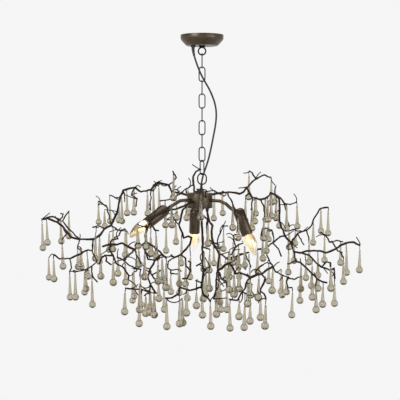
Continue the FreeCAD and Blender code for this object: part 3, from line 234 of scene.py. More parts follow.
def crystal_glass(name):
    """Smoky champagne glass, clear, with slow blown-glass waves and a tint that varies a little."""
    material, tree, shader = node_material(name)
    tints = [(0.3, (0.50, 0.465, 0.335)), (0.5, (0.48, 0.435, 0.32)), (0.72, (0.515, 0.43, 0.335))]
    tint = ramp(tree, grain(tree, 22, 2), tints)
    # Painted shade: the drops' tint darkens towards their edges as the surface turns away from the view
    join(painted_rim_shade(tree, tint, 0.28, (0.07, 0.06, 0.04)), shader.inputs["Base Color"])
    shader.inputs["Transmission Weight"].default_value = 1.0
    shader.inputs["IOR"].default_value = 1.5
    roughen(tree, shader, grain(tree, 150, 2), 0.0, 0.05)
    bump(tree, shader, grain(tree, 130, 2), 0.12, 0.001)
    return material


def bulb_glass(name):
    """Smoky candle glass with a soft frost, amber where the glow sits at its neck."""
    material, tree, shader = node_material(name)
    along = add_node(tree, "ShaderNodeAttribute")
    along.attribute_name = "along"
    glow = [
        (0.0, (1.0, 0.45, 0.15)), (0.2, (0.75, 0.42, 0.18)), (0.45, (0.42, 0.32, 0.18)),
        (0.8, (0.10, 0.08, 0.04)), (1.0, (0.03, 0.02, 0.01)),
    ]
    paint(tree, shader, along.outputs["Fac"], glow, "Emission Color")
    shader.inputs["Emission Strength"].default_value = 0.55
    tint = ramp(tree, grain(tree, 60, 2), [(0.3, (0.86, 0.78, 0.58)), (0.7, (0.82, 0.73, 0.52))])
    # Painted shade: the bulb's tint darkens towards its edges as the surface turns away from the view
    join(painted_rim_shade(tree, tint, 0.35, (0.42, 0.34, 0.18)), shader.inputs["Base Color"])
    shader.inputs["Transmission Weight"].default_value = 1.0
    roughen(tree, shader, grain(tree, 400, 3), 0.20, 0.30)
    bump(tree, shader, grain(tree, 1500, 2), 0.1, 0.0002)
    return material


def glow_material(name):
    """The lit core of a bulb, warm and a little uneven."""
    material, tree, shader = node_material(name)
    shader.inputs["Base Color"].default_value = (1.0, 0.9, 0.7, 1)
    warm = [(0.3, (1.0, 0.74, 0.42)), (0.7, (1.0, 0.84, 0.58))]
    paint(tree, shader, grain(tree, 80, 2), warm, "Emission Color")
    shader.inputs["Emission Strength"].default_value = 3.2
    return material


def screw_cap_metal(name):
    """Thin rolled brass, a little tarnished."""
    material, tree, shader = node_material(name)
    brass = [(0.3, (0.62, 0.5, 0.28)), (0.7, (0.75, 0.64, 0.42))]
    paint(tree, shader, grain(tree, 120, 4), brass)
    shader.inputs["Metallic"].default_value = 1.0
    roughen(tree, shader, grain(tree, 400, 3), 0.22, 0.4)
    bump(tree, shader, grain(tree, 1200, 2), 0.15, 0.0002)
    return material


def sheath(name):
    """Black round cable sheath with a fine grain."""
    material, tree, shader = node_material(name)
    blacks = [(0.35, (0.002, 0.002, 0.002)), (0.7, (0.008, 0.0075, 0.007))]
    paint(tree, shader, grain(tree, 300, 4), blacks)
    roughen(tree, shader, grain(tree, 700, 4), 0.38, 0.55)
    bump(tree, shader, grain(tree, 3500, 2), 0.2, 0.0002)
    return material


def pale_floor(name):
    """Pale floor paper that fades into the studio's white away from the middle."""
    material, tree, shader = node_material(name)
    paint(tree, shader, grain(tree, 3, 3), [(0.2, (0.86, 0.86, 0.86)), (0.8, (0.9, 0.9, 0.9))])
    shader.inputs["Roughness"].default_value = 0.95
    paper = add_node(tree, "ShaderNodeEmission", Strength=PAPER_WHITE)
    reach = add_node(tree, "ShaderNodeVectorMath")
    reach.operation = "LENGTH"
    join(place_coordinates(tree), reach.inputs[0])
    fade = add_node(tree, "ShaderNodeMapRange", From_Max=FLOOR_FADE, To_Min=FLOOR_GLOW)
    join(reach.outputs["Value"], fade.inputs["Value"])
    output = next(node for node in tree.nodes if node.type == "OUTPUT_MATERIAL")
    mix_into(output, fade.outputs["Result"], shader.outputs["BSDF"], paper.outputs["Emission"])
    return material


BRONZE = lacquered_metal(
    "bronze_lacquer", (0.062, 0.046, 0.031), (0.105, 0.080, 0.056), 0.85, 0.30, 0.42, 0.08)
TWIG = lacquered_metal(
    "twig_bronze", (0.010, 0.006, 0.003), (0.060, 0.036, 0.018), 0.7, 0.42, 0.6, 0.6)
BLACK = lacquered_metal(
    "black_steel", (0.0015, 0.0012, 0.001), (0.008, 0.0065, 0.005), 0.7, 0.4, 0.5, 0.3)
ZINC = lacquered_metal(
    "bracket_steel", (0.35, 0.35, 0.36), (0.55, 0.55, 0.56), 0.9, 0.4, 0.6, 0.2)
HOLDER_PLASTIC = plastic("lampholder_plastic", (0.02, 0.016, 0.013), (0.045, 0.036, 0.03), 0.5)
GLAND_PLASTIC = plastic("black_plastic", (0.012, 0.012, 0.012), (0.03, 0.03, 0.03), 0.5)
BLOCK_PLASTIC = plastic("terminal_plastic", (0.62, 0.6, 0.55), (0.78, 0.76, 0.7), 0.55)
CRYSTAL = crystal_glass("crystal")
BULB = bulb_glass("bulb_glass")
CAP = screw_cap_metal("cap_metal")
GLOW = glow_material("bulb_glow")
CABLE = sheath("cable_sheath")

# The material of each slot; the bulbs' glow has the slot of their glass
SLOTS = {
    "bronze_lacquer": BRONZE, "twig_bronze": TWIG, "black_steel": BLACK, "bracket_steel": ZINC,
    "lampholder_plastic": HOLDER_PLASTIC, "black_plastic": GLAND_PLASTIC,
    "terminal_plastic": BLOCK_PLASTIC, "crystal": CRYSTAL, "bulb_glass": BULB, "cap_metal": CAP,
    "cable_sheath": CABLE,
}


# Mesh tools

# A turned profile's radius below this is a point
ON_AXIS = 1e-7


def add_object(name, data):
    """A new object in the scene."""
    item = bpy.data.objects.new(name, data)
    bpy.context.scene.collection.objects.link(item)
    return item


class Mesh:
    """Points and faces of one piece."""

    def __init__(self):
        self.points = []
        self.faces = []

    def lathe(self, profile, place, sides=24):
        """Adds a solid turned from (radius, height) points round the local Z axis of a placement."""
        rows = []
        for radius, height in profile:
            first = len(self.points)
            if radius < ON_AXIS:
                self.points.append(place @ Vector((0, 0, height)))
                rows.append([first] * sides)
                continue
            for i in range(sides):
                a = 2 * pi * i / sides
                self.points.append(place @ Vector((radius * cos(a), radius * sin(a), height)))
            rows.append([first + i for i in range(sides)])
        for low, high in zip(rows, rows[1:]):
            for i in range(sides):
                j = (i + 1) % sides
                face = []
                for corner in (low[i], low[j], high[j], high[i]):
                    if corner not in face:
                        face.append(corner)
                if len(face) > 2:
                    self.faces.append(tuple(face))

    def tube(self, path, radii, sides=10, closed=False):
        """Adds a round tube along points; radii is one value or one for each point."""
        count = len(path)
        if not isinstance(radii, (list, tuple)):
            radii = [radii] * count
        ways = []
        for i in range(count):
            if closed:
                ways.append((path[(i + 1) % count] - path[i - 1]).normalized())
            else:
                ways.append((path[min(count - 1, i + 1)] - path[max(0, i - 1)]).normalized())
        side = ways[0].orthogonal().normalized()
        rows = []
        for spot, way, radius in zip(path, ways, radii):
            side = (side - way * side.dot(way)).normalized()
            up = way.cross(side)
            first = len(self.points)
            for i in range(sides):
                a = 2 * pi * i / sides
                self.points.append(spot + side * (radius * cos(a)) + up * (radius * sin(a)))
            rows.append([first + i for i in range(sides)])
        pairs = list(zip(rows, rows[1:]))
        if closed:
            # The last ring may have turned against the first, so it joins the nearest corner
            last = self.points[rows[-1][0]]
            offset = min(range(sides), key=lambda k: (last - self.points[rows[0][k]]).length)
            pairs.append((rows[-1], rows[0][offset:] + rows[0][:offset]))
        for low, high in pairs:
            for i in range(sides):
                j = (i + 1) % sides
                self.faces.append((low[i], low[j], high[j], high[i]))
        if not closed:
            self.faces.append(tuple(reversed(rows[0])))
            self.faces.append(tuple(rows[-1]))

    def piece(self, name, material):
        """The object made of what was added, smooth shaded."""
        data = bpy.data.meshes.new(name)
        data.from_pydata([tuple(p) for p in self.points], [], self.faces)
        data.validate()
        data.update()
        shade_smooth(data)
        data.materials.append(material)
        return add_object(name, data)


def shade_smooth(data):
    data.polygons.foreach_set("use_smooth", [True] * len(data.polygons))


def keep_edges(item, degrees):
    """Sharp edges where smooth shaded faces meet at more than an angle."""
    item.data.set_sharp_from_angle(angle=radians(degrees))


def add_piece(mesh, name, slot, body, replaced=(), edges=None, material=None):
    """The piece made of a mesh: its look, its body, the CAD nodes it stands in for and its edges."""
    item = mesh.piece(name, material or SLOTS[slot])
    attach(item, body)
    if replaced:
        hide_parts(*replaced)
    if edges:
        keep_edges(item, edges)
    return item


def rounded(profile, radius, steps=3):
    """The open profile with its inner corners rounded."""
    points = [Vector(p) for p in profile]
    result = [tuple(points[0])]
    for before, corner, after in zip(points, points[1:], points[2:]):
        back = before - corner
        ahead = after - corner
        reach = min(radius, back.length * 0.45, ahead.length * 0.45)
        enter = corner + back.normalized() * reach
        leave = corner + ahead.normalized() * reach
        for i in range(steps + 1):
            t = i / steps
            spot = enter * (1 - t) ** 2 + corner * (2 * t * (1 - t)) + leave * t ** 2
            result.append(tuple(spot))
    result.append(tuple(points[-1]))
    return result


def parts_of(node):
    """Corner lists of the separate solids in a CAD node."""
    data = nodes[node].data
    merged = {}
    group = list(range(len(data.vertices)))
    for vertex in data.vertices:
        key = tuple(round(c * GRID) for c in vertex.co)
        merged.setdefault(key, vertex.index)
        group[vertex.index] = merged[key]

    def root(i):
        while group[i] != i:
            group[i] = group[group[i]]
            i = group[i]
        return i

    for face in data.polygons:
        first = root(face.vertices[0])
        for index in face.vertices[1:]:
            group[root(index)] = first
    sets = {}
    for vertex in data.vertices:
        sets.setdefault(root(vertex.index), []).append(vertex.co.copy())
    return list(sets.values())


def waves():
    """A slow wander for the twigs, so that no run of a casting is dead straight."""
    texture = bpy.data.textures.new("twig_waves", "CLOUDS")
    texture.noise_scale = 0.028
    texture.noise_depth = 1
    texture.cloud_type = "COLOR"
    return texture


WAVES = waves()

# The whole width of the wander, so that a spot is carried at most half of it along each axis
WANDER = 0.006


# Glass drops

# A drop's axis place, top, bottom and ball radius
Drop = namedtuple("Drop", "x y high low ball")

DROP_SIDES = 18
BALL_ROWS = 10
BALL_SPREAD = (0.97, 1.03)
LEAN = radians(1.6)

# The cone's foot as a share of the ball's radius, the width at which the ball ends, and those of
# the shoulder and of the cone's start as shares of the foot
FOOT_SPREAD = (0.46, 0.54)
CUT_WIDTH = 0.9
SHOULDER_WIDTH = 1.02
CONE_WIDTH = 0.95

# How far above the ball's end the shoulder and the cone's start are, as shares of the ball's radius
SHOULDER_RISE = 0.10
CONE_RISE = 0.2

# Shares of the cone's height, each with the width there as a share of that at its start
CONE = (
    (0.0, 1.0), (0.12, 0.93), (0.35, 0.80), (0.62, 0.65),
    (0.85, 0.54), (0.95, 0.50), (1.0, 0.56),
)
CONE_CAP = 0.0003

# The eye: radius of its middle line and of its glass, its steps and its sides
EYE_RADIUS = 0.0020
EYE_GLASS = 0.0011
EYE_STEPS = 12
EYE_SIDES = 6


def drop_from(corners):
    """The drop that a CAD solid's corners show."""
    low = min(c.z for c in corners)
    high = max(c.z for c in corners)
    top_ring = [c for c in corners if c.z > high - MERGE]
    spots = {(round(c.x, 6), round(c.y, 6)) for c in top_ring}
    x = sum(s[0] for s in spots) / len(spots)
    y = sum(s[1] for s in spots) / len(spots)
    ball = max(hypot(c.x - x, c.y - y) for c in corners)
    return Drop(x, y, high, low, ball)


def hanging_drop(name):
    """The drop that a freely hanging CAD node shows."""
    return drop_from([v.co for v in nodes[f"drop_{name}"].data.vertices])


def wander_at(spot):
    """How far the twigs' wander carries a spot."""
    colour = WAVES.evaluate(spot)
    return Vector((colour[0] - 0.5, colour[1] - 0.5, colour[2] - 0.5)) * WANDER


def add_drop(mesh, drop, chance):
    """A drawn drop: ball, shoulder, slim cone and a looped eye."""
    x, y, high, low, ball = drop
    drift = wander_at(Vector((x, y, high)))
    x += drift.x
    y += drift.y
    rise = max(drift.z, cad_box[0][2] - low)
    high += rise
    low += rise
    sideways = Matrix.Rotation(chance.uniform(-LEAN, LEAN), 4, "X")
    forwards = Matrix.Rotation(chance.uniform(-LEAN, LEAN), 4, "Y")
    lean = sideways @ forwards
    place = Matrix.Translation((x, y, high)) @ lean @ Matrix.Translation((0, 0, -high))
    size = ball * chance.uniform(*BALL_SPREAD)
    foot = size * chance.uniform(*FOOT_SPREAD)
    middle = low + size
    cut = asin(min(1, foot / size * CUT_WIDTH))
    profile = [(0, low)]
    for i in range(1, BALL_ROWS + 1):
        a = -pi / 2 + (pi - cut) * i / BALL_ROWS
        profile.append((size * cos(a), middle + size * sin(a)))
    shoulder = profile[-1][1]
    profile.append((foot * SHOULDER_WIDTH, shoulder + size * SHOULDER_RISE))
    cone_low = shoulder + size * CONE_RISE
    cone_top = high - 2 * EYE_RADIUS - EYE_GLASS
    cone_height = cone_top - shoulder - size * CONE_RISE
    for share, swell in CONE:
        profile.append((foot * CONE_WIDTH * swell, cone_low + cone_height * share))
    profile.append((0, cone_top + CONE_CAP))
    mesh.lathe(profile, place, DROP_SIDES)
    add_eye(mesh, Vector((x, y, high - EYE_RADIUS - EYE_GLASS)), chance.uniform(0, pi))


def add_eye(mesh, centre, turn):
    """The upright glass loop of a drop, turned about the vertical."""
    loop = []
    for i in range(EYE_STEPS):
        a = 2 * pi * i / EYE_STEPS
        across = EYE_RADIUS * cos(a)
        rise = EYE_RADIUS * sin(a)
        loop.append(centre + Vector((across * cos(turn), across * sin(turn), rise)))
    mesh.tube(loop, EYE_GLASS, EYE_SIDES, closed=True)


def make_drops():
    """The glass of every CAD drop: one piece for each branch, and one for each hanging drop."""
    chance = random.Random(7)
    for name in BRANCHES:
        node = f"drops_{name}"
        mesh = Mesh()
        for corners in parts_of(node):
            add_drop(mesh, drop_from(corners), chance)
        add_piece(mesh, f"glass_{name}", "crystal", "chandelier", [node])
    for name in HANGING:
        mesh = Mesh()
        add_drop(mesh, hanging_drop(name), chance)
        add_piece(mesh, f"glass_{name}", "crystal", f"hanging_{name}", [f"drop_{name}"])


# Twigs and arms: the CAD castings, melted together and rounded by modifiers

TWIG_VOXEL = 0.00065
TWIG_ROUNDS = 4
TWIG_SWELL = 0.00085
ARM_VOXEL = 0.0006
ARM_ROUNDS = 6
ARM_SWELL = 0.0003


def melt(item):
    """Joins the corners of a CAD node's separate faces."""
    weld = item.modifiers.new("weld", "WELD")
    weld.merge_threshold = MERGE


def soften(item, voxel, rounds, swell, wander):
    """Rounds a faceted CAD casting, makes up for what rounding takes off it, and may bend it."""
    melt(item)
    remesh = item.modifiers.new("remesh", "REMESH")
    remesh.mode = "VOXEL"
    remesh.voxel_size = voxel
    remesh.use_smooth_shade = True
    smooth = item.modifiers.new("smooth", "SMOOTH")
    smooth.factor = 0.5
    smooth.iterations = rounds
    fill = item.modifiers.new("fill", "DISPLACE")
    fill.strength = swell
    fill.mid_level = 0
    if wander:
        drift = item.modifiers.new("drift", "DISPLACE")
        drift.texture = WAVES
        drift.texture_coords = "LOCAL"
        drift.direction = "RGB_TO_XYZ"
        drift.strength = wander
        drift.mid_level = 0.5


def make_twigs():
    for name in BRANCHES:
        soften(nodes[f"branch_{name}"], TWIG_VOXEL, TWIG_ROUNDS, TWIG_SWELL, WANDER)
    for name in LAMPS:
        soften(nodes[f"lamp_arm_{name}"], ARM_VOXEL, ARM_ROUNDS, ARM_SWELL, 0)


# Small twigs and drops that the castings leave out, seeded, so that they come out the same each time

# Twigs and drops to a full branch, what a full branch has in corners, and the least and most of it
SMALL_TWIGS = 18
SMALL_DROPS = 0.7
FULL_BRANCH = 260
LEAST_SHARE = 0.35
MOST_SHARE = 1.6
MOST_TRIES = 400

# The least distance between two small twigs and from the chandelier's axis
SMALL_TWIG_SPACING = 0.022
BARE_REACH = 0.125

# A small twig's radius at its foot and at its tip, the length of its runs, how much it bends from
# run to run, how many runs it has, its sides, and the points that a run is drawn with
TWIG_FOOT = 0.0016
TWIG_TIP = 0.0013
TWIG_RUN = (0.005, 0.009)
TWIG_BEND = (0.15, 0.5)
TWIG_RUNS = (3, 6)
TWIG_SIDES = 8
CURVE_STEPS = 3

# A small drop's length and its ball's radius
SMALL_LENGTHS = (0.055, 0.078)
SMALL_BALL = 0.0095

# What the small twigs and drops keep from: the box's sides, the lamps and the other drops
TWIG_MARGIN = 0.004
DROP_MARGIN = 0.012
CLEAR = 0.007
DROP_GAP = 0.003
BALL_GAP = 0.004
STEM_CLEAR = 0.0075
STEM_FREE = 0.012
DROP_SPACING = 0.0215
DROP_STEP = 0.002
CONE_REACH = 0.005

# A hanging drop's sideways reach when it swings, as a share of its length
SWING_REACH = sin(radians(26))


def crown_trees():
    """Surfaces to keep clear of: the lamps, the swinging drops, the chain and the cable."""
    names = [f"{part}_{lamp}" for lamp in LAMPS for part in ("lamp_sleeve", "bulb_glass", "lamp_arm")]
    names += [f"drop_{name}" for name in HANGING]
    names += ["supply_cable", "suspension_ring", "hub_body", "ring_holder"]
    return [tree_of(name) for name in names]


def tree_of(node):
    """A CAD node's surface, made ready to be asked for distances."""
    data = nodes[node].data
    faces = [tuple(face.vertices) for face in data.polygons]
    return BVHTree.FromPolygons([v.co for v in data.vertices], faces)


def is_clear(spots, trees, reach):
    """True where no surface comes within reach of a spot."""
    return all(tree.find_nearest(spot, reach)[0] is None for spot in spots for tree in trees)


def small_twig(start, way, chance):
    """A short twig that curls as it grows."""
    step = chance.uniform(*TWIG_RUN)
    bend = chance.choice((-1, 1)) * chance.uniform(*TWIG_BEND)
    curl = Matrix.Rotation(bend, 4, chance.choice("XYZ"))
    path = [start - way * 0.001]
    for _ in range(chance.randint(*TWIG_RUNS)):
        path.append(path[-1] + way * step)
        stray = Vector([chance.uniform(-0.1, most) for most in (0.1, 0.1, 0.12)])
        way = (curl @ way + stray).normalized()
    return path


def inside_box(spots, margin):
    """True where every spot is at least a margin inside the CAD box."""
    low, high = cad_box
    return all(low[i] + margin < spot[i] < high[i] - margin for spot in spots for i in range(3))


def make_small_twigs():
    """Grows small twigs from corners of the castings and hangs drops from some of their tips."""
    chance = random.Random(23)
    keep = crown_trees()
    taken = [drop_from(corners) for name in BRANCHES for corners in parts_of(f"drops_{name}")]
    woods = [tree_of(f"branch_{name}") for name in BRANCHES]
    for name in BRANCHES:
        corners = [v.co.copy() for v in nodes[f"branch_{name}"].data.vertices]
        share = len(corners) / FULL_BRANCH
        wanted = SMALL_TWIGS * min(MOST_SHARE, max(LEAST_SHARE, share))
        twigs = Mesh()
        glass = Mesh()
        used = []
        hung = 0
        tries = 0
        while len(used) < wanted and tries < MOST_TRIES:
            tries += 1
            corner = chance.choice(corners)
            crowded = any((corner - other).length < SMALL_TWIG_SPACING for other in used)
            if hypot(corner.x, corner.y) < BARE_REACH or crowded:
                continue
            way = Vector((chance.uniform(-1, 1), chance.uniform(-1, 1), chance.uniform(-0.7, 1.0)))
            path = small_twig(corner + wander_at(corner), way.normalized(), chance)
            if not twig_fits(path, keep, taken):
                continue
            add_small_twig(twigs, path)
            used.append(corner)
            drop = drop_below(path[-1], chance.uniform(*SMALL_LENGTHS))
            if hung < SMALL_DROPS * share and drop_fits(drop, taken, keep, woods):
                # One that a swinging drop would meet is left out, and the others stay where they are
                add_drop(Mesh() if in_swing(drop) else glass, unwandered(drop), chance)
                taken.append(drop)
                hung += 1
        add_piece(twigs, f"small_twigs_{name}", "twig_bronze", "chandelier")
        if glass.points:
            add_piece(glass, f"small_glass_{name}", "crystal", "chandelier")


def twig_fits(path, keep, taken):
    """True where a small twig stays clear of everything but its own branch."""
    if not inside_box(path, TWIG_MARGIN) or not is_clear(path[1:], keep, CLEAR):
        return False
    return not any(near_drop(spot, drop) for spot in path for drop in taken)


def add_small_twig(mesh, path):
    """A small twig, which gets thinner towards its tip."""
    last = len(path) - 1
    radii = [TWIG_FOOT + (TWIG_TIP - TWIG_FOOT) * i / last for i in range(len(path))]
    mesh.tube(bent(path), spread_out(radii), TWIG_SIDES)


def drop_below(tip, length):
    """A small drop that hangs from a twig's tip."""
    return Drop(tip.x, tip.y, tip.z - TWIG_TIP, tip.z - TWIG_TIP - length, SMALL_BALL)


def unwandered(drop):
    """The drop as it has to be given to add_drop, so that the wander brings it where it is."""
    drift = wander_at(Vector((drop.x, drop.y, drop.high)))
    return Drop(drop.x - drift.x, drop.y - drift.y, drop.high - drift.z, drop.low - drift.z, drop.ball)


def in_swing(drop):
    """True where a drop would stand in the way of one that swings, whichever way it swings."""
    for name in HANGING:
        other = hanging_drop(name)
        reach = (other.high - other.low) * SWING_REACH + other.ball + drop.ball
        level = other.low < drop.high and drop.low < other.high
        if level and hypot(other.x - drop.x, other.y - drop.y) < reach:
            return True
    return False


def near_drop(spot, drop):
    """True where a spot is in a drop or within a gap of it."""
    wide = drop.ball if spot.z < drop.low + 2.2 * drop.ball else CONE_REACH
    level = drop.low - DROP_GAP < spot.z < drop.high + DROP_GAP
    return level and hypot(spot.x - drop.x, spot.y - drop.y) < wide + DROP_GAP


def drop_fits(drop, taken, keep, woods):
    """True where a drop would hang free of everything."""
    x, y, high, low, ball = drop
    middle = [Vector((x, y, low + ball))]
    if low < cad_box[0][2] + TWIG_MARGIN or not inside_box(middle, DROP_MARGIN):
        return False
    for other in taken:
        level = other.low - DROP_STEP < high and low - DROP_STEP < other.high
        if level and hypot(other.x - x, other.y - y) < DROP_SPACING:
            return False
    stem_low = low + 2 * ball
    stem_length = high - STEM_FREE - low - 2 * ball
    stem = [Vector((x, y, stem_low + stem_length * i / 5)) for i in range(6)]
    ball_clear = is_clear(middle, keep + woods, ball + BALL_GAP)
    return ball_clear and is_clear(stem, keep + woods, STEM_CLEAR)


def bent(path):
    """The path with more points on each run, on a smooth curve through its points."""
    result = []
    for i, (a, b) in enumerate(zip(path, path[1:])):
        before = path[max(0, i - 1)]
        after = path[min(len(path) - 1, i + 2)]
        first = b - before
        second = 2 * before - 5 * a + 4 * b - after
        third = 3 * a - before - 3 * b + after
        for k in range(CURVE_STEPS):
            t = k / CURVE_STEPS
            result.append(((2 * a) + first * t + second * t * t + third * t ** 3) / 2)
    return result + [path[-1]]


def spread_out(values):
    """The values with even steps between them, as many as a bent path has."""
    result = []
    for a, b in zip(values, values[1:]):
        result += [a + (b - a) * k / CURVE_STEPS for k in range(CURVE_STEPS)]
    return result + [values[-1]]


# Chain

LINK_WIRE = 0.0015
RING_WIRE = 0.0018
WIRE_SIDES = 12


def racetrack(half_width, half_length, steps=12):
    """A loop of two half rounds and the straights between them, as (across, up) points."""
    points = []
    straight = half_length - half_width
    for centre, start in ((straight, 0.0), (-straight, pi)):
        for i in range(steps + 1):
            a = start + pi * i / steps
            points.append((half_width * cos(a), centre + half_width * sin(a)))
    return points


def level_turn(node):
    """Direction in which a flat upright loop is widest, seen from above."""
    spots = [v.co for v in nodes[node].data.vertices]
    xx = sum(p.x * p.x for p in spots)
    yy = sum(p.y * p.y for p in spots)
    xy = sum(p.x * p.y for p in spots)
    return 0.5 * atan2(2 * xy, xx - yy)


def make_loop(name, node, wire, body):
    """A welded loop of round wire with a slight weld bead, in place of the CAD loop."""
    low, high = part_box(node)
    turn = level_turn(node)
    wide = Vector((cos(turn), sin(turn), 0))
    reach = max(abs(v.co.dot(wide)) for v in nodes[node].data.vertices) - wire
    half_height = (high.z - low.z) / 2 - wire
    centre = Vector((0, 0, (low.z + high.z) / 2))
    path = []
    radii = []
    # A hair inside the CAD loop, to make room for the weld bead
    for across, up in racetrack(reach * 0.985, half_height * 0.998):
        path.append(centre + wide * across + Vector((0, 0, up)))
        bead = exp(-((across - reach) / 0.002) ** 2 - (up / 0.0018) ** 2)
        radii.append(wire * (1 + 0.1 * bead))
    mesh = Mesh()
    mesh.tube(path, radii, WIRE_SIDES, closed=True)
    add_piece(mesh, name, "black_steel", body, [node])


def make_chain():
    for number in range(1, LINKS + 1):
        make_loop(f"link_wire_{number}", f"chain_link_{number}", LINK_WIRE, f"link_{number}")
    make_loop("ring_wire", "suspension_ring", RING_WIRE, "ring")


# Ceiling fittings. Heights are below the ceiling, so they are negative.

# The rose: the ratio of its foot's radius to its rim's, its hole's radius, its wall, and the
# heights of its knee and of the edge where its rim starts
ROSE_FOOT = 42
ROSE_RIM = 58
ROSE_HOLE = 0.0043
ROSE_WALL = 0.0015
ROSE_KNEE = -0.0165
ROSE_EDGE = -0.011

# The gland: radii of the cable's way through it and of its shank, and its head's height
GLAND_BORE = 0.0028
GLAND_SHANK = 0.0038
GLAND_HEAD = 0.0067

# The eye bolt: its wire, its loop's radius and steps, its neck, its collar and its shank
BOLT_WIRE = 0.002
BOLT_LOOP = 0.010
BOLT_STEPS = 32
BOLT_NECK = 0.0045
COLLAR_RADIUS = 0.008
COLLAR_RISE = 0.0012
COLLAR_TOP = -0.0293
SHANK_RADIUS = 0.004
SHANK_TOP = -0.003


def make_rose():
    """A thin cup with a foot narrower than its rim and a hole for the eye bolt."""
    low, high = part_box("rose_cup")
    radius = (high.x - low.x) / 2
    foot = radius * ROSE_FOOT / ROSE_RIM
    profile = [
        (ROSE_HOLE, low.z), (foot, low.z),
        (radius * 0.93, ROSE_KNEE), (radius, ROSE_EDGE), (radius, high.z),
        (radius - ROSE_WALL, high.z), (radius - ROSE_WALL, ROSE_EDGE),
        (foot, low.z + ROSE_WALL), (ROSE_HOLE, low.z + ROSE_WALL), (ROSE_HOLE, low.z),
    ]
    mesh = Mesh()
    mesh.lathe(rounded(profile, 0.003), Matrix.Identity(4), 64)
    add_piece(mesh, "rose_shell", "bronze_lacquer", "ceiling", ["rose_cup"], edges=40)


def make_gland():
    """A collar with a shank, both with the cable's way through them."""
    low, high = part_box("cord_gland")
    centre = Matrix.Translation(((low.x + high.x) / 2, (low.y + high.y) / 2, 0))
    wide = (high.x - low.x) / 2
    top = low.z + GLAND_HEAD
    collar = [
        (GLAND_BORE, low.z), (wide * 0.55, low.z), (wide * 0.72, low.z + 0.002),
        (wide, top - 0.0025), (wide, top), (GLAND_BORE, top),
    ]
    shank = [(GLAND_BORE, top), (GLAND_SHANK, top), (GLAND_SHANK, high.z), (0.0, high.z)]
    mesh = Mesh()
    mesh.lathe(rounded(collar, 0.0006), centre, 32)
    mesh.lathe(shank, centre, 24)
    add_piece(mesh, "gland_body", "black_plastic", "ceiling", ["cord_gland"], edges=40)


def make_eye_bolt():
    """A round eye under a collar and a shank, which carries the chain."""
    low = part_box("ceiling_eye")[0]
    middle = low.z + BOLT_WIRE + BOLT_LOOP
    loop = []
    for i in range(BOLT_STEPS):
        a = 2 * pi * i / BOLT_STEPS
        loop.append(Vector((BOLT_LOOP * cos(a), 0, middle + BOLT_LOOP * sin(a))))
    rim = middle + BOLT_LOOP - COLLAR_RISE
    profile = [
        (0, rim), (BOLT_NECK, rim), (COLLAR_RADIUS, rim + COLLAR_RISE), (COLLAR_RADIUS, COLLAR_TOP),
        (SHANK_RADIUS, COLLAR_TOP), (SHANK_RADIUS, SHANK_TOP), (0, SHANK_TOP),
    ]
    mesh = Mesh()
    mesh.tube(loop, BOLT_WIRE, WIRE_SIDES, closed=True)
    mesh.lathe(rounded(profile, 0.0005), Matrix.Identity(4), 32)
    add_piece(mesh, "eye_bolt", "black_steel", "ceiling", ["ceiling_eye"], edges=50)


# Hub

LUG_HALF = 0.0043
LUG_THICK = 0.00175
LUG_HOLE = 0.0027
LUG_STEPS = 24
NUT_RADIUS = 0.0125
NUT_BORE = 0.0053


def bevelled(node, width):
    """Rounds a CAD node's sharp edges and shades the rest smooth."""
    item = nodes[node]
    melt(item)
    edges = item.modifiers.new("edges", "BEVEL")
    edges.width = width
    edges.segments = 3
    edges.limit_method = "ANGLE"
    edges.angle_limit = radians(50)
    edges.harden_normals = False
    shade_smooth(item.data)
    keep_edges(item, 40)


def make_hub():
    bevelled("hub_body", 0.0006)
    bevelled("hub_cover", 0.0004)
    centre = Matrix.Translation((HUB_CENTRE.x, HUB_CENTRE.y, 0))
    make_holder(centre)
    make_nut(centre)


def make_holder(centre):
    """The turned collar on the hub, with its pin below and its lug above."""
    low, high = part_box("ring_holder")
    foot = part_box("hub_body")[1].z + 0.0003
    crown = foot + 0.0117
    profile = [
        (0, low.z), (0.0045, low.z), (0.005, low.z + 0.0006), (0.005, foot),
        (0.012, foot), (0.012, foot + 0.0022), (0.0088, foot + 0.0036),
        (0.0075, foot + 0.0046), (0.0075, foot + 0.0071), (0.0088, foot + 0.0082),
        (0.0105, foot + 0.0094), (0.0105, crown), (0, crown),
    ]
    mesh = Mesh()
    mesh.lathe(rounded(profile, 0.0006), centre, 40)
    add_lug(mesh, crown - 0.004, high.z)
    add_piece(mesh, "holder_turned", "bronze_lacquer", "chandelier", ["ring_holder"], edges=35)


def make_nut(centre):
    """The domed nut below the hub."""
    low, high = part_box("hub_nut")
    profile = [
        (NUT_BORE, high.z), (NUT_RADIUS, high.z), (NUT_RADIUS, high.z - 0.0034),
        (NUT_RADIUS * 0.86, low.z + 0.001), (NUT_RADIUS * 0.4, low.z + 0.0001), (0, low.z),
    ]
    mesh = Mesh()
    mesh.lathe(rounded(profile, 0.0012), centre, 40)
    add_piece(mesh, "nut_dome", "bronze_lacquer", "chandelier", ["hub_nut"], edges=35)


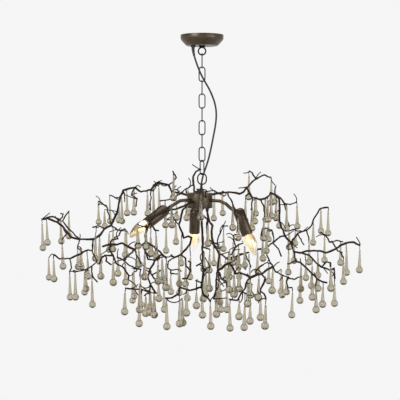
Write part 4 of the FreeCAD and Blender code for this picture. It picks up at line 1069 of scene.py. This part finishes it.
def add_lug(mesh, low, high):
    """The upright lug with a round eye that the suspension ring passes through."""
    hole_z = high - 0.0045
    outer = []
    inner = []
    for i in range(LUG_STEPS + 1):
        a = -pi / 4 + (pi * 1.5) * i / LUG_STEPS
        outer.append((LUG_HALF * cos(a), hole_z + LUG_HALF * sin(a)))
        inner.append((LUG_HOLE * cos(a), hole_z + LUG_HOLE * sin(a)))
    outer = [(LUG_HALF, low)] + outer + [(-LUG_HALF, low)]
    below = hole_z - LUG_HOLE * 0.72
    inner = [(LUG_HOLE * 0.7, below)] + inner + [(-LUG_HOLE * 0.7, below)]
    first = len(mesh.points)
    for x in (-LUG_THICK, LUG_THICK):
        for y, z in outer + inner:
            mesh.points.append(Vector((x, y, z)))

    # Corners are counted from the front's outer row; the inner row and the back follow it
    count = len(outer)
    back = 2 * count

    def add_face(*corners):
        mesh.faces.append(tuple(first + corner for corner in corners))

    for i in range(count - 1):
        j = i + 1
        add_face(i, j, count + j, count + i)
        add_face(back + j, back + i, back + count + i, back + count + j)
        add_face(j, i, back + i, back + j)
        add_face(count + i, count + j, back + count + j, back + count + i)
    add_face(0, count, back + count, back)
    add_face(2 * count - 1, count - 1, back + count - 1, back + 2 * count - 1)
    add_face(0, count, 2 * count - 1, count - 1)
    add_face(back + count - 1, back + 2 * count - 1, back + count, back)


# Lamps. Heights of sleeve, socket and cap are on the lamp's axis, whose top is 0 and which points up;
# a bulb's outline and its glow's are given as depths below that.

SLEEVE_RADIUS = 0.0155
SLEEVE_WALL = 0.0012
SLEEVE_LENGTH = 0.075
BEAD_DEPTH = 0.0118
THREAD_TOP = -0.0424
THREAD_PITCH = 0.0028
THREAD_TURNS = 6
THREAD_CREST = 0.0069
THREAD_ROOT = 0.0064
STEM_RADIUS = 0.0016
GLASS_WALL = 0.0009

# The depth where the bulb's neck starts, and how much further down its tip is
NECK_DEPTH = 0.060
CANDLE_REACH = 0.077
CANDLE_OUTLINE = [
    (0.0068, 0.0602), (0.0078, 0.0640), (0.0096, 0.0690), (0.0118, 0.0740), (0.0144, 0.0800),
    (0.0164, 0.0860), (0.0174, 0.0920), (0.0173, 0.0980), (0.0165, 0.1045), (0.0150, 0.1110),
    (0.0128, 0.1175), (0.0100, 0.1240), (0.0070, 0.1295), (0.0042, 0.1335), (0.0020, 0.1358),
    (0, 0.1368),
]
GLOW_OUTLINE = [
    (0, 0.0655), (0.0030, 0.0665), (0.0052, 0.0750), (0.0064, 0.0850),
    (0.0058, 0.0950), (0.0038, 0.1040), (0, 0.1090),
]


def lamp_place(name):
    """Placement at the top of a lamp, local Z pointing back up its axis."""
    joint = joints[f"bulb_{name}_unscrew"]
    up = -Vector(joint["axis"]).normalized()
    return Matrix.Translation(joint["pos_m"]) @ up.to_track_quat("Z", "Y").to_matrix().to_4x4()


def make_lamps():
    for name in LAMPS:
        place = lamp_place(name)
        make_sleeve(name, place)
        make_socket(name, place)
        make_screw_cap(name, place)
        make_glow(name, place)
        make_candle_glass(name, place)


def make_sleeve(name, place):
    """The tube round a lampholder, with a domed top that is pressed on at a thin rolled bead."""
    inside = SLEEVE_RADIUS - SLEEVE_WALL
    profile = [
        (0, 0), (0.006, 0), (0.0095, -0.0012), (0.0125, -0.0036), (0.0147, -0.0066),
        (SLEEVE_RADIUS, -0.0095), (SLEEVE_RADIUS, -SLEEVE_LENGTH + 0.0008),
        (SLEEVE_RADIUS - 0.0004, -SLEEVE_LENGTH), (inside, -SLEEVE_LENGTH),
        (inside, -0.0100), (0.0118, -0.0048), (0.0057, -SLEEVE_WALL), (0, -SLEEVE_WALL),
    ]
    bead = [
        (SLEEVE_RADIUS - 0.0003, -0.0114), (SLEEVE_RADIUS + 0.00015, -BEAD_DEPTH),
        (SLEEVE_RADIUS - 0.0003, -0.0122),
    ]
    mesh = Mesh()
    mesh.lathe(profile, place, 48)
    mesh.lathe(bead, place, 48)
    replaced = [f"lamp_sleeve_{name}"]
    add_piece(mesh, f"sleeve_{name}", "bronze_lacquer", "chandelier", replaced, edges=35)


def make_socket(name, place):
    """The lampholder, a stepped plastic cup."""
    profile = [
        (0, -0.0012), (0.005, -0.0012), (0.005, -0.025), (0.0115, -0.025),
        (0.0115, -0.058), (0.0073, -0.058), (0.0073, -0.0365), (0, -0.0365),
    ]
    mesh = Mesh()
    mesh.lathe(rounded(profile, 0.0008), place, 32)
    replaced = [f"lampholder_{name}"]
    add_piece(mesh, f"socket_{name}", "lampholder_plastic", "chandelier", replaced, edges=35)


def make_screw_cap(name, place):
    """The bulb's threaded cap, with the stem that holds the glow."""
    profile = [(0, -0.0368), (0.003, -0.0368), (0.0042, -0.0385), (0.0068, -0.0410)]
    for i in range(THREAD_TURNS):
        crest = THREAD_TOP - i * THREAD_PITCH
        profile += [(THREAD_CREST, crest), (THREAD_ROOT, crest - THREAD_PITCH / 2)]
    profile += [(THREAD_CREST, -0.0600), (STEM_RADIUS, -0.0600), (STEM_RADIUS, -0.0940), (0, -0.0940)]
    mesh = Mesh()
    mesh.lathe(profile, place, 32)
    replaced = [f"bulb_cap_{name}"]
    add_piece(mesh, f"screw_cap_{name}", "cap_metal", f"bulb_{name}", replaced, edges=60)


def make_glow(name, place):
    """The lit spindle inside the glass."""
    mesh = Mesh()
    mesh.lathe([(radius, -depth) for radius, depth in GLOW_OUTLINE], place, 20)
    add_piece(mesh, f"glow_{name}", "bulb_glass", f"bulb_{name}", material=GLOW)


def make_candle_glass(name, place):
    """The hollow candle glass, which knows how far along it each of its points is."""
    inside = [(max(0, radius - GLASS_WALL), depth) for radius, depth in CANDLE_OUTLINE[1:-1]]
    inside.append((0, CANDLE_OUTLINE[-1][1] - GLASS_WALL))
    mesh = Mesh()
    mesh.lathe([(radius, -depth) for radius, depth in CANDLE_OUTLINE], place, 36)
    closing = [(0, -CANDLE_OUTLINE[1][1])]
    mesh.lathe(closing + [(radius, -depth) for radius, depth in inside], place, 36)
    replaced = [f"bulb_glass_{name}"]
    glass = add_piece(mesh, f"candle_glass_{name}", "bulb_glass", f"bulb_{name}", replaced)
    along = glass.data.attributes.new("along", "FLOAT", "POINT")
    origin = place.translation
    up = place.to_3x3() @ Vector((0, 0, 1))
    depths = [-(v.co - origin).dot(up) for v in glass.data.vertices]
    along.data.foreach_set("value", [(depth - NECK_DEPTH) / CANDLE_REACH for depth in depths])


# Supply cable: the route's points from the ceiling down to the ring holder, in millimetres,
# their heights above the hub

CABLE_DIAMETER = 0.005
CABLE_SIDES = 12
HUB_HEIGHT = -0.446
CABLE_ROUTE = [
    (-24, -12, 409.7), (-24, -12, 400), (-16, -12, 372), (-3, -12, 340), (8, -12.5, 320),
    (20, -12, 300), (31, -11.5, 275), (37, -11, 253), (39, -10.5, 231), (37, -10, 206),
    (31, -10, 175), (24.5, -10.5, 141), (17, -11, 109), (7, -10.5, 80), (-0.5, -9, 56),
    (-3.5, -7.2, 31.6),
]

# Heights of the lowest stretch and of the one above it, as each has to be longer than six diameters
LOW_STRETCHES = (0.0308, 0.0306)

# Points of the cable closer than this are one
SAME_SPOT = 1e-6

# The boot at the gland: its length, its radius at the gland and at its tip, its ribs
RELIEF_LENGTH = 0.022
RELIEF_ROOT = 0.0044
RELIEF_TIP = 0.0028
RELIEF_STEP = 0.0011
RELIEF_RIB = 0.00035
RELIEF_SIDES = 20


def cable_line():
    """Points along the cable's smooth line, read from its NURBS spline."""
    curve = bpy.data.curves.new("cable_line", "CURVE")
    curve.dimensions = "3D"
    spline = curve.splines.new("NURBS")
    spline.points.add(len(CABLE_ROUTE) - 1)
    for point, (x, y, height) in zip(spline.points, CABLE_ROUTE):
        point.co = (x / 1000, y / 1000, HUB_HEIGHT + height / 1000, 1)
    spline.order_u = 3
    spline.use_endpoint_u = True
    curve.resolution_u = 12
    holder = add_object("cable_line", curve)
    bpy.context.view_layer.update()
    data = bpy.data.meshes.new_from_object(holder)
    line = [v.co.copy() for v in data.vertices]
    bpy.data.objects.remove(holder)
    bpy.data.meshes.remove(data)
    if line[0].z < line[-1].z:
        line.reverse()
    return line


def at_height(line, z):
    """The point of a falling line at a height, with the number of the run that it is on."""
    for i, (a, b) in enumerate(zip(line, line[1:])):
        if a.z >= z >= b.z:
            share = (a.z - z) / max(1e-9, a.z - b.z)
            return i, a.lerp(b, share)
    return None


def make_strain_relief(path):
    """The ribbed, tapered boot where the cable leaves the gland."""
    covered = [path[0]]
    shares = [0.0]
    for a, b in zip(path, path[1:]):
        run = (b - a).length
        if shares[-1] + run > RELIEF_LENGTH:
            break
        steps = max(1, round(run / RELIEF_STEP))
        for k in range(1, steps + 1):
            covered.append(a.lerp(b, k / steps))
            shares.append(shares[-1] + run / steps)
    radii = []
    for i, share in enumerate(shares):
        taper = RELIEF_ROOT + (RELIEF_TIP - RELIEF_ROOT) * share / shares[-1]
        radii.append(taper + (RELIEF_RIB if i % 3 == 1 else 0))
    mesh = Mesh()
    mesh.tube(covered, radii, RELIEF_SIDES)
    item = mesh.piece("strain_relief", GLAND_PLASTIC)
    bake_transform(item)


def make_cable():
    """One stretch for each joint of the chain."""
    line = cable_line()
    heights = [joint["pos_m"][2] for joint in frame["joints"][:LINKS + 2]]
    cuts = [line[0].z]
    for upper, lower in zip(heights, heights[1:]):
        cuts.append((upper + lower) / 2)
    cuts.append(line[-1].z)
    cuts[-2] = cuts[-1] + LOW_STRETCHES[0]
    cuts[-3] = cuts[-2] + LOW_STRETCHES[1]
    for i, (start, end) in enumerate(zip(cuts, cuts[1:])):
        first = at_height(line, start) or (0, line[0])
        last = at_height(line, end) or (len(line) - 2, line[-1])
        path = [first[1]] + line[first[0] + 1:last[0] + 1] + [last[1]]
        path = [p for j, p in enumerate(path) if j == 0 or (p - path[j - 1]).length > SAME_SPOT]
        mesh = Mesh()
        mesh.tube(path, CABLE_DIAMETER / 2, CABLE_SIDES)
        item = mesh.piece(f"cable_{i + 1:02d}", CABLE)
        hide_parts("supply_cable")
        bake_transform(item)
        if i == 0:
            make_strain_relief(path)


# Studio


def make_camera():
    """The photograph's view: level across, from a little above the hub."""
    data = bpy.data.cameras.new("view")
    data.sensor_fit = "HORIZONTAL"
    data.sensor_width = SENSOR
    data.lens = FOCAL_POINTS / PICTURE_SIDE * SENSOR
    data.clip_end = 100
    item = add_object("view", data)
    back = VIEW_DISTANCE * cos(VIEW_PITCH)
    up = VIEW_DISTANCE * sin(VIEW_PITCH)
    item.location = HUB_CENTRE + Vector((0, -back, up))
    item.rotation_euler = (pi / 2 - VIEW_PITCH, 0, 0)
    bpy.context.scene.camera = item


def area_light(name, place, target, size, power, colour):
    """A rectangular light that faces its target."""
    data = bpy.data.lights.new(name, "AREA")
    data.shape = "RECTANGLE"
    data.size = size[0]
    data.size_y = size[1]
    data.energy = power
    data.color = colour
    item = add_object(name, data)
    item.location = place
    item.rotation_euler = (Vector(target) - Vector(place)).to_track_quat("-Z", "Y").to_euler()


def make_world():
    """White paper to the camera; to everything else a room that is bright round and dark above."""
    world = bpy.data.worlds.new("studio")
    bpy.context.scene.world = world
    world.use_nodes = True
    tree = world.node_tree
    tree.nodes.clear()
    output = add_node(tree, "ShaderNodeOutputWorld")
    shown = add_node(tree, "ShaderNodeBackground", Color=(1, 1, 1, 1), Strength=PAPER_WHITE)
    lit = add_node(tree, "ShaderNodeBackground", Strength=0.95)
    split = add_node(tree, "ShaderNodeSeparateXYZ")
    join(add_node(tree, "ShaderNodeTexCoord").outputs["Generated"], split.inputs["Vector"])
    level = add_node(tree, "ShaderNodeMapRange", From_Min=-1)
    join(split.outputs["Z"], level.inputs["Value"])
    brightness = [(0.0, 0.8), (0.40, 0.96), (0.57, 1), (0.67, 0.10), (1.0, 0.10)]
    bands = [(place, (grey, grey, grey)) for place, grey in brightness]
    join(ramp(tree, level.outputs["Result"], bands), lit.inputs["Color"])
    seen = add_node(tree, "ShaderNodeLightPath").outputs["Is Camera Ray"]
    mix_into(output, seen, lit.outputs["Background"], shown.outputs["Background"])


def make_floor():
    height = cad_box[0][2] - FLOOR_DROP
    sides = ((-1, -1), (1, -1), (1, 1), (-1, 1))
    corners = [(x * FLOOR_HALF, y * FLOOR_HALF, height) for x, y in sides]
    data = bpy.data.meshes.new("floor")
    data.from_pydata(corners, [], [(0, 1, 2, 3)])
    data.materials.append(pale_floor("floor_paper"))
    floor = add_object("floor", data)


def make_studio():
    # The paper of the photograph is a flat pale grey, which this transform gives back as it is
    bpy.context.scene.view_settings.view_transform = "Standard"
    make_world()
    make_floor()
    centre = tuple(HUB_CENTRE)
    area_light("key", (-1.6, -2.0, 0.6), centre, (1.4, 1.4), 40, (1.0, 0.98, 0.95))
    area_light("fill", (2.0, -1.6, -0.2), centre, (1.6, 1.6), 22, (0.95, 0.97, 1.0))
    area_light("top", (0.2, 0.3, 1.2), centre, (1.8, 1.8), 25, (1.0, 1.0, 1.0))


def give_materials():
    """Every CAD node that stays in view gets the material of its slot."""
    for part in frame["record"]["subparts"]:
        data = nodes[part["node"]].data
        data.materials.clear()
        data.materials.append(SLOTS[part["material_slot"]])


make_camera()
make_studio()
give_materials()
make_cable()
make_chain()
make_rose()
make_gland()
make_eye_bolt()
make_hub()
make_lamps()
make_twigs()
make_drops()
make_small_twigs()
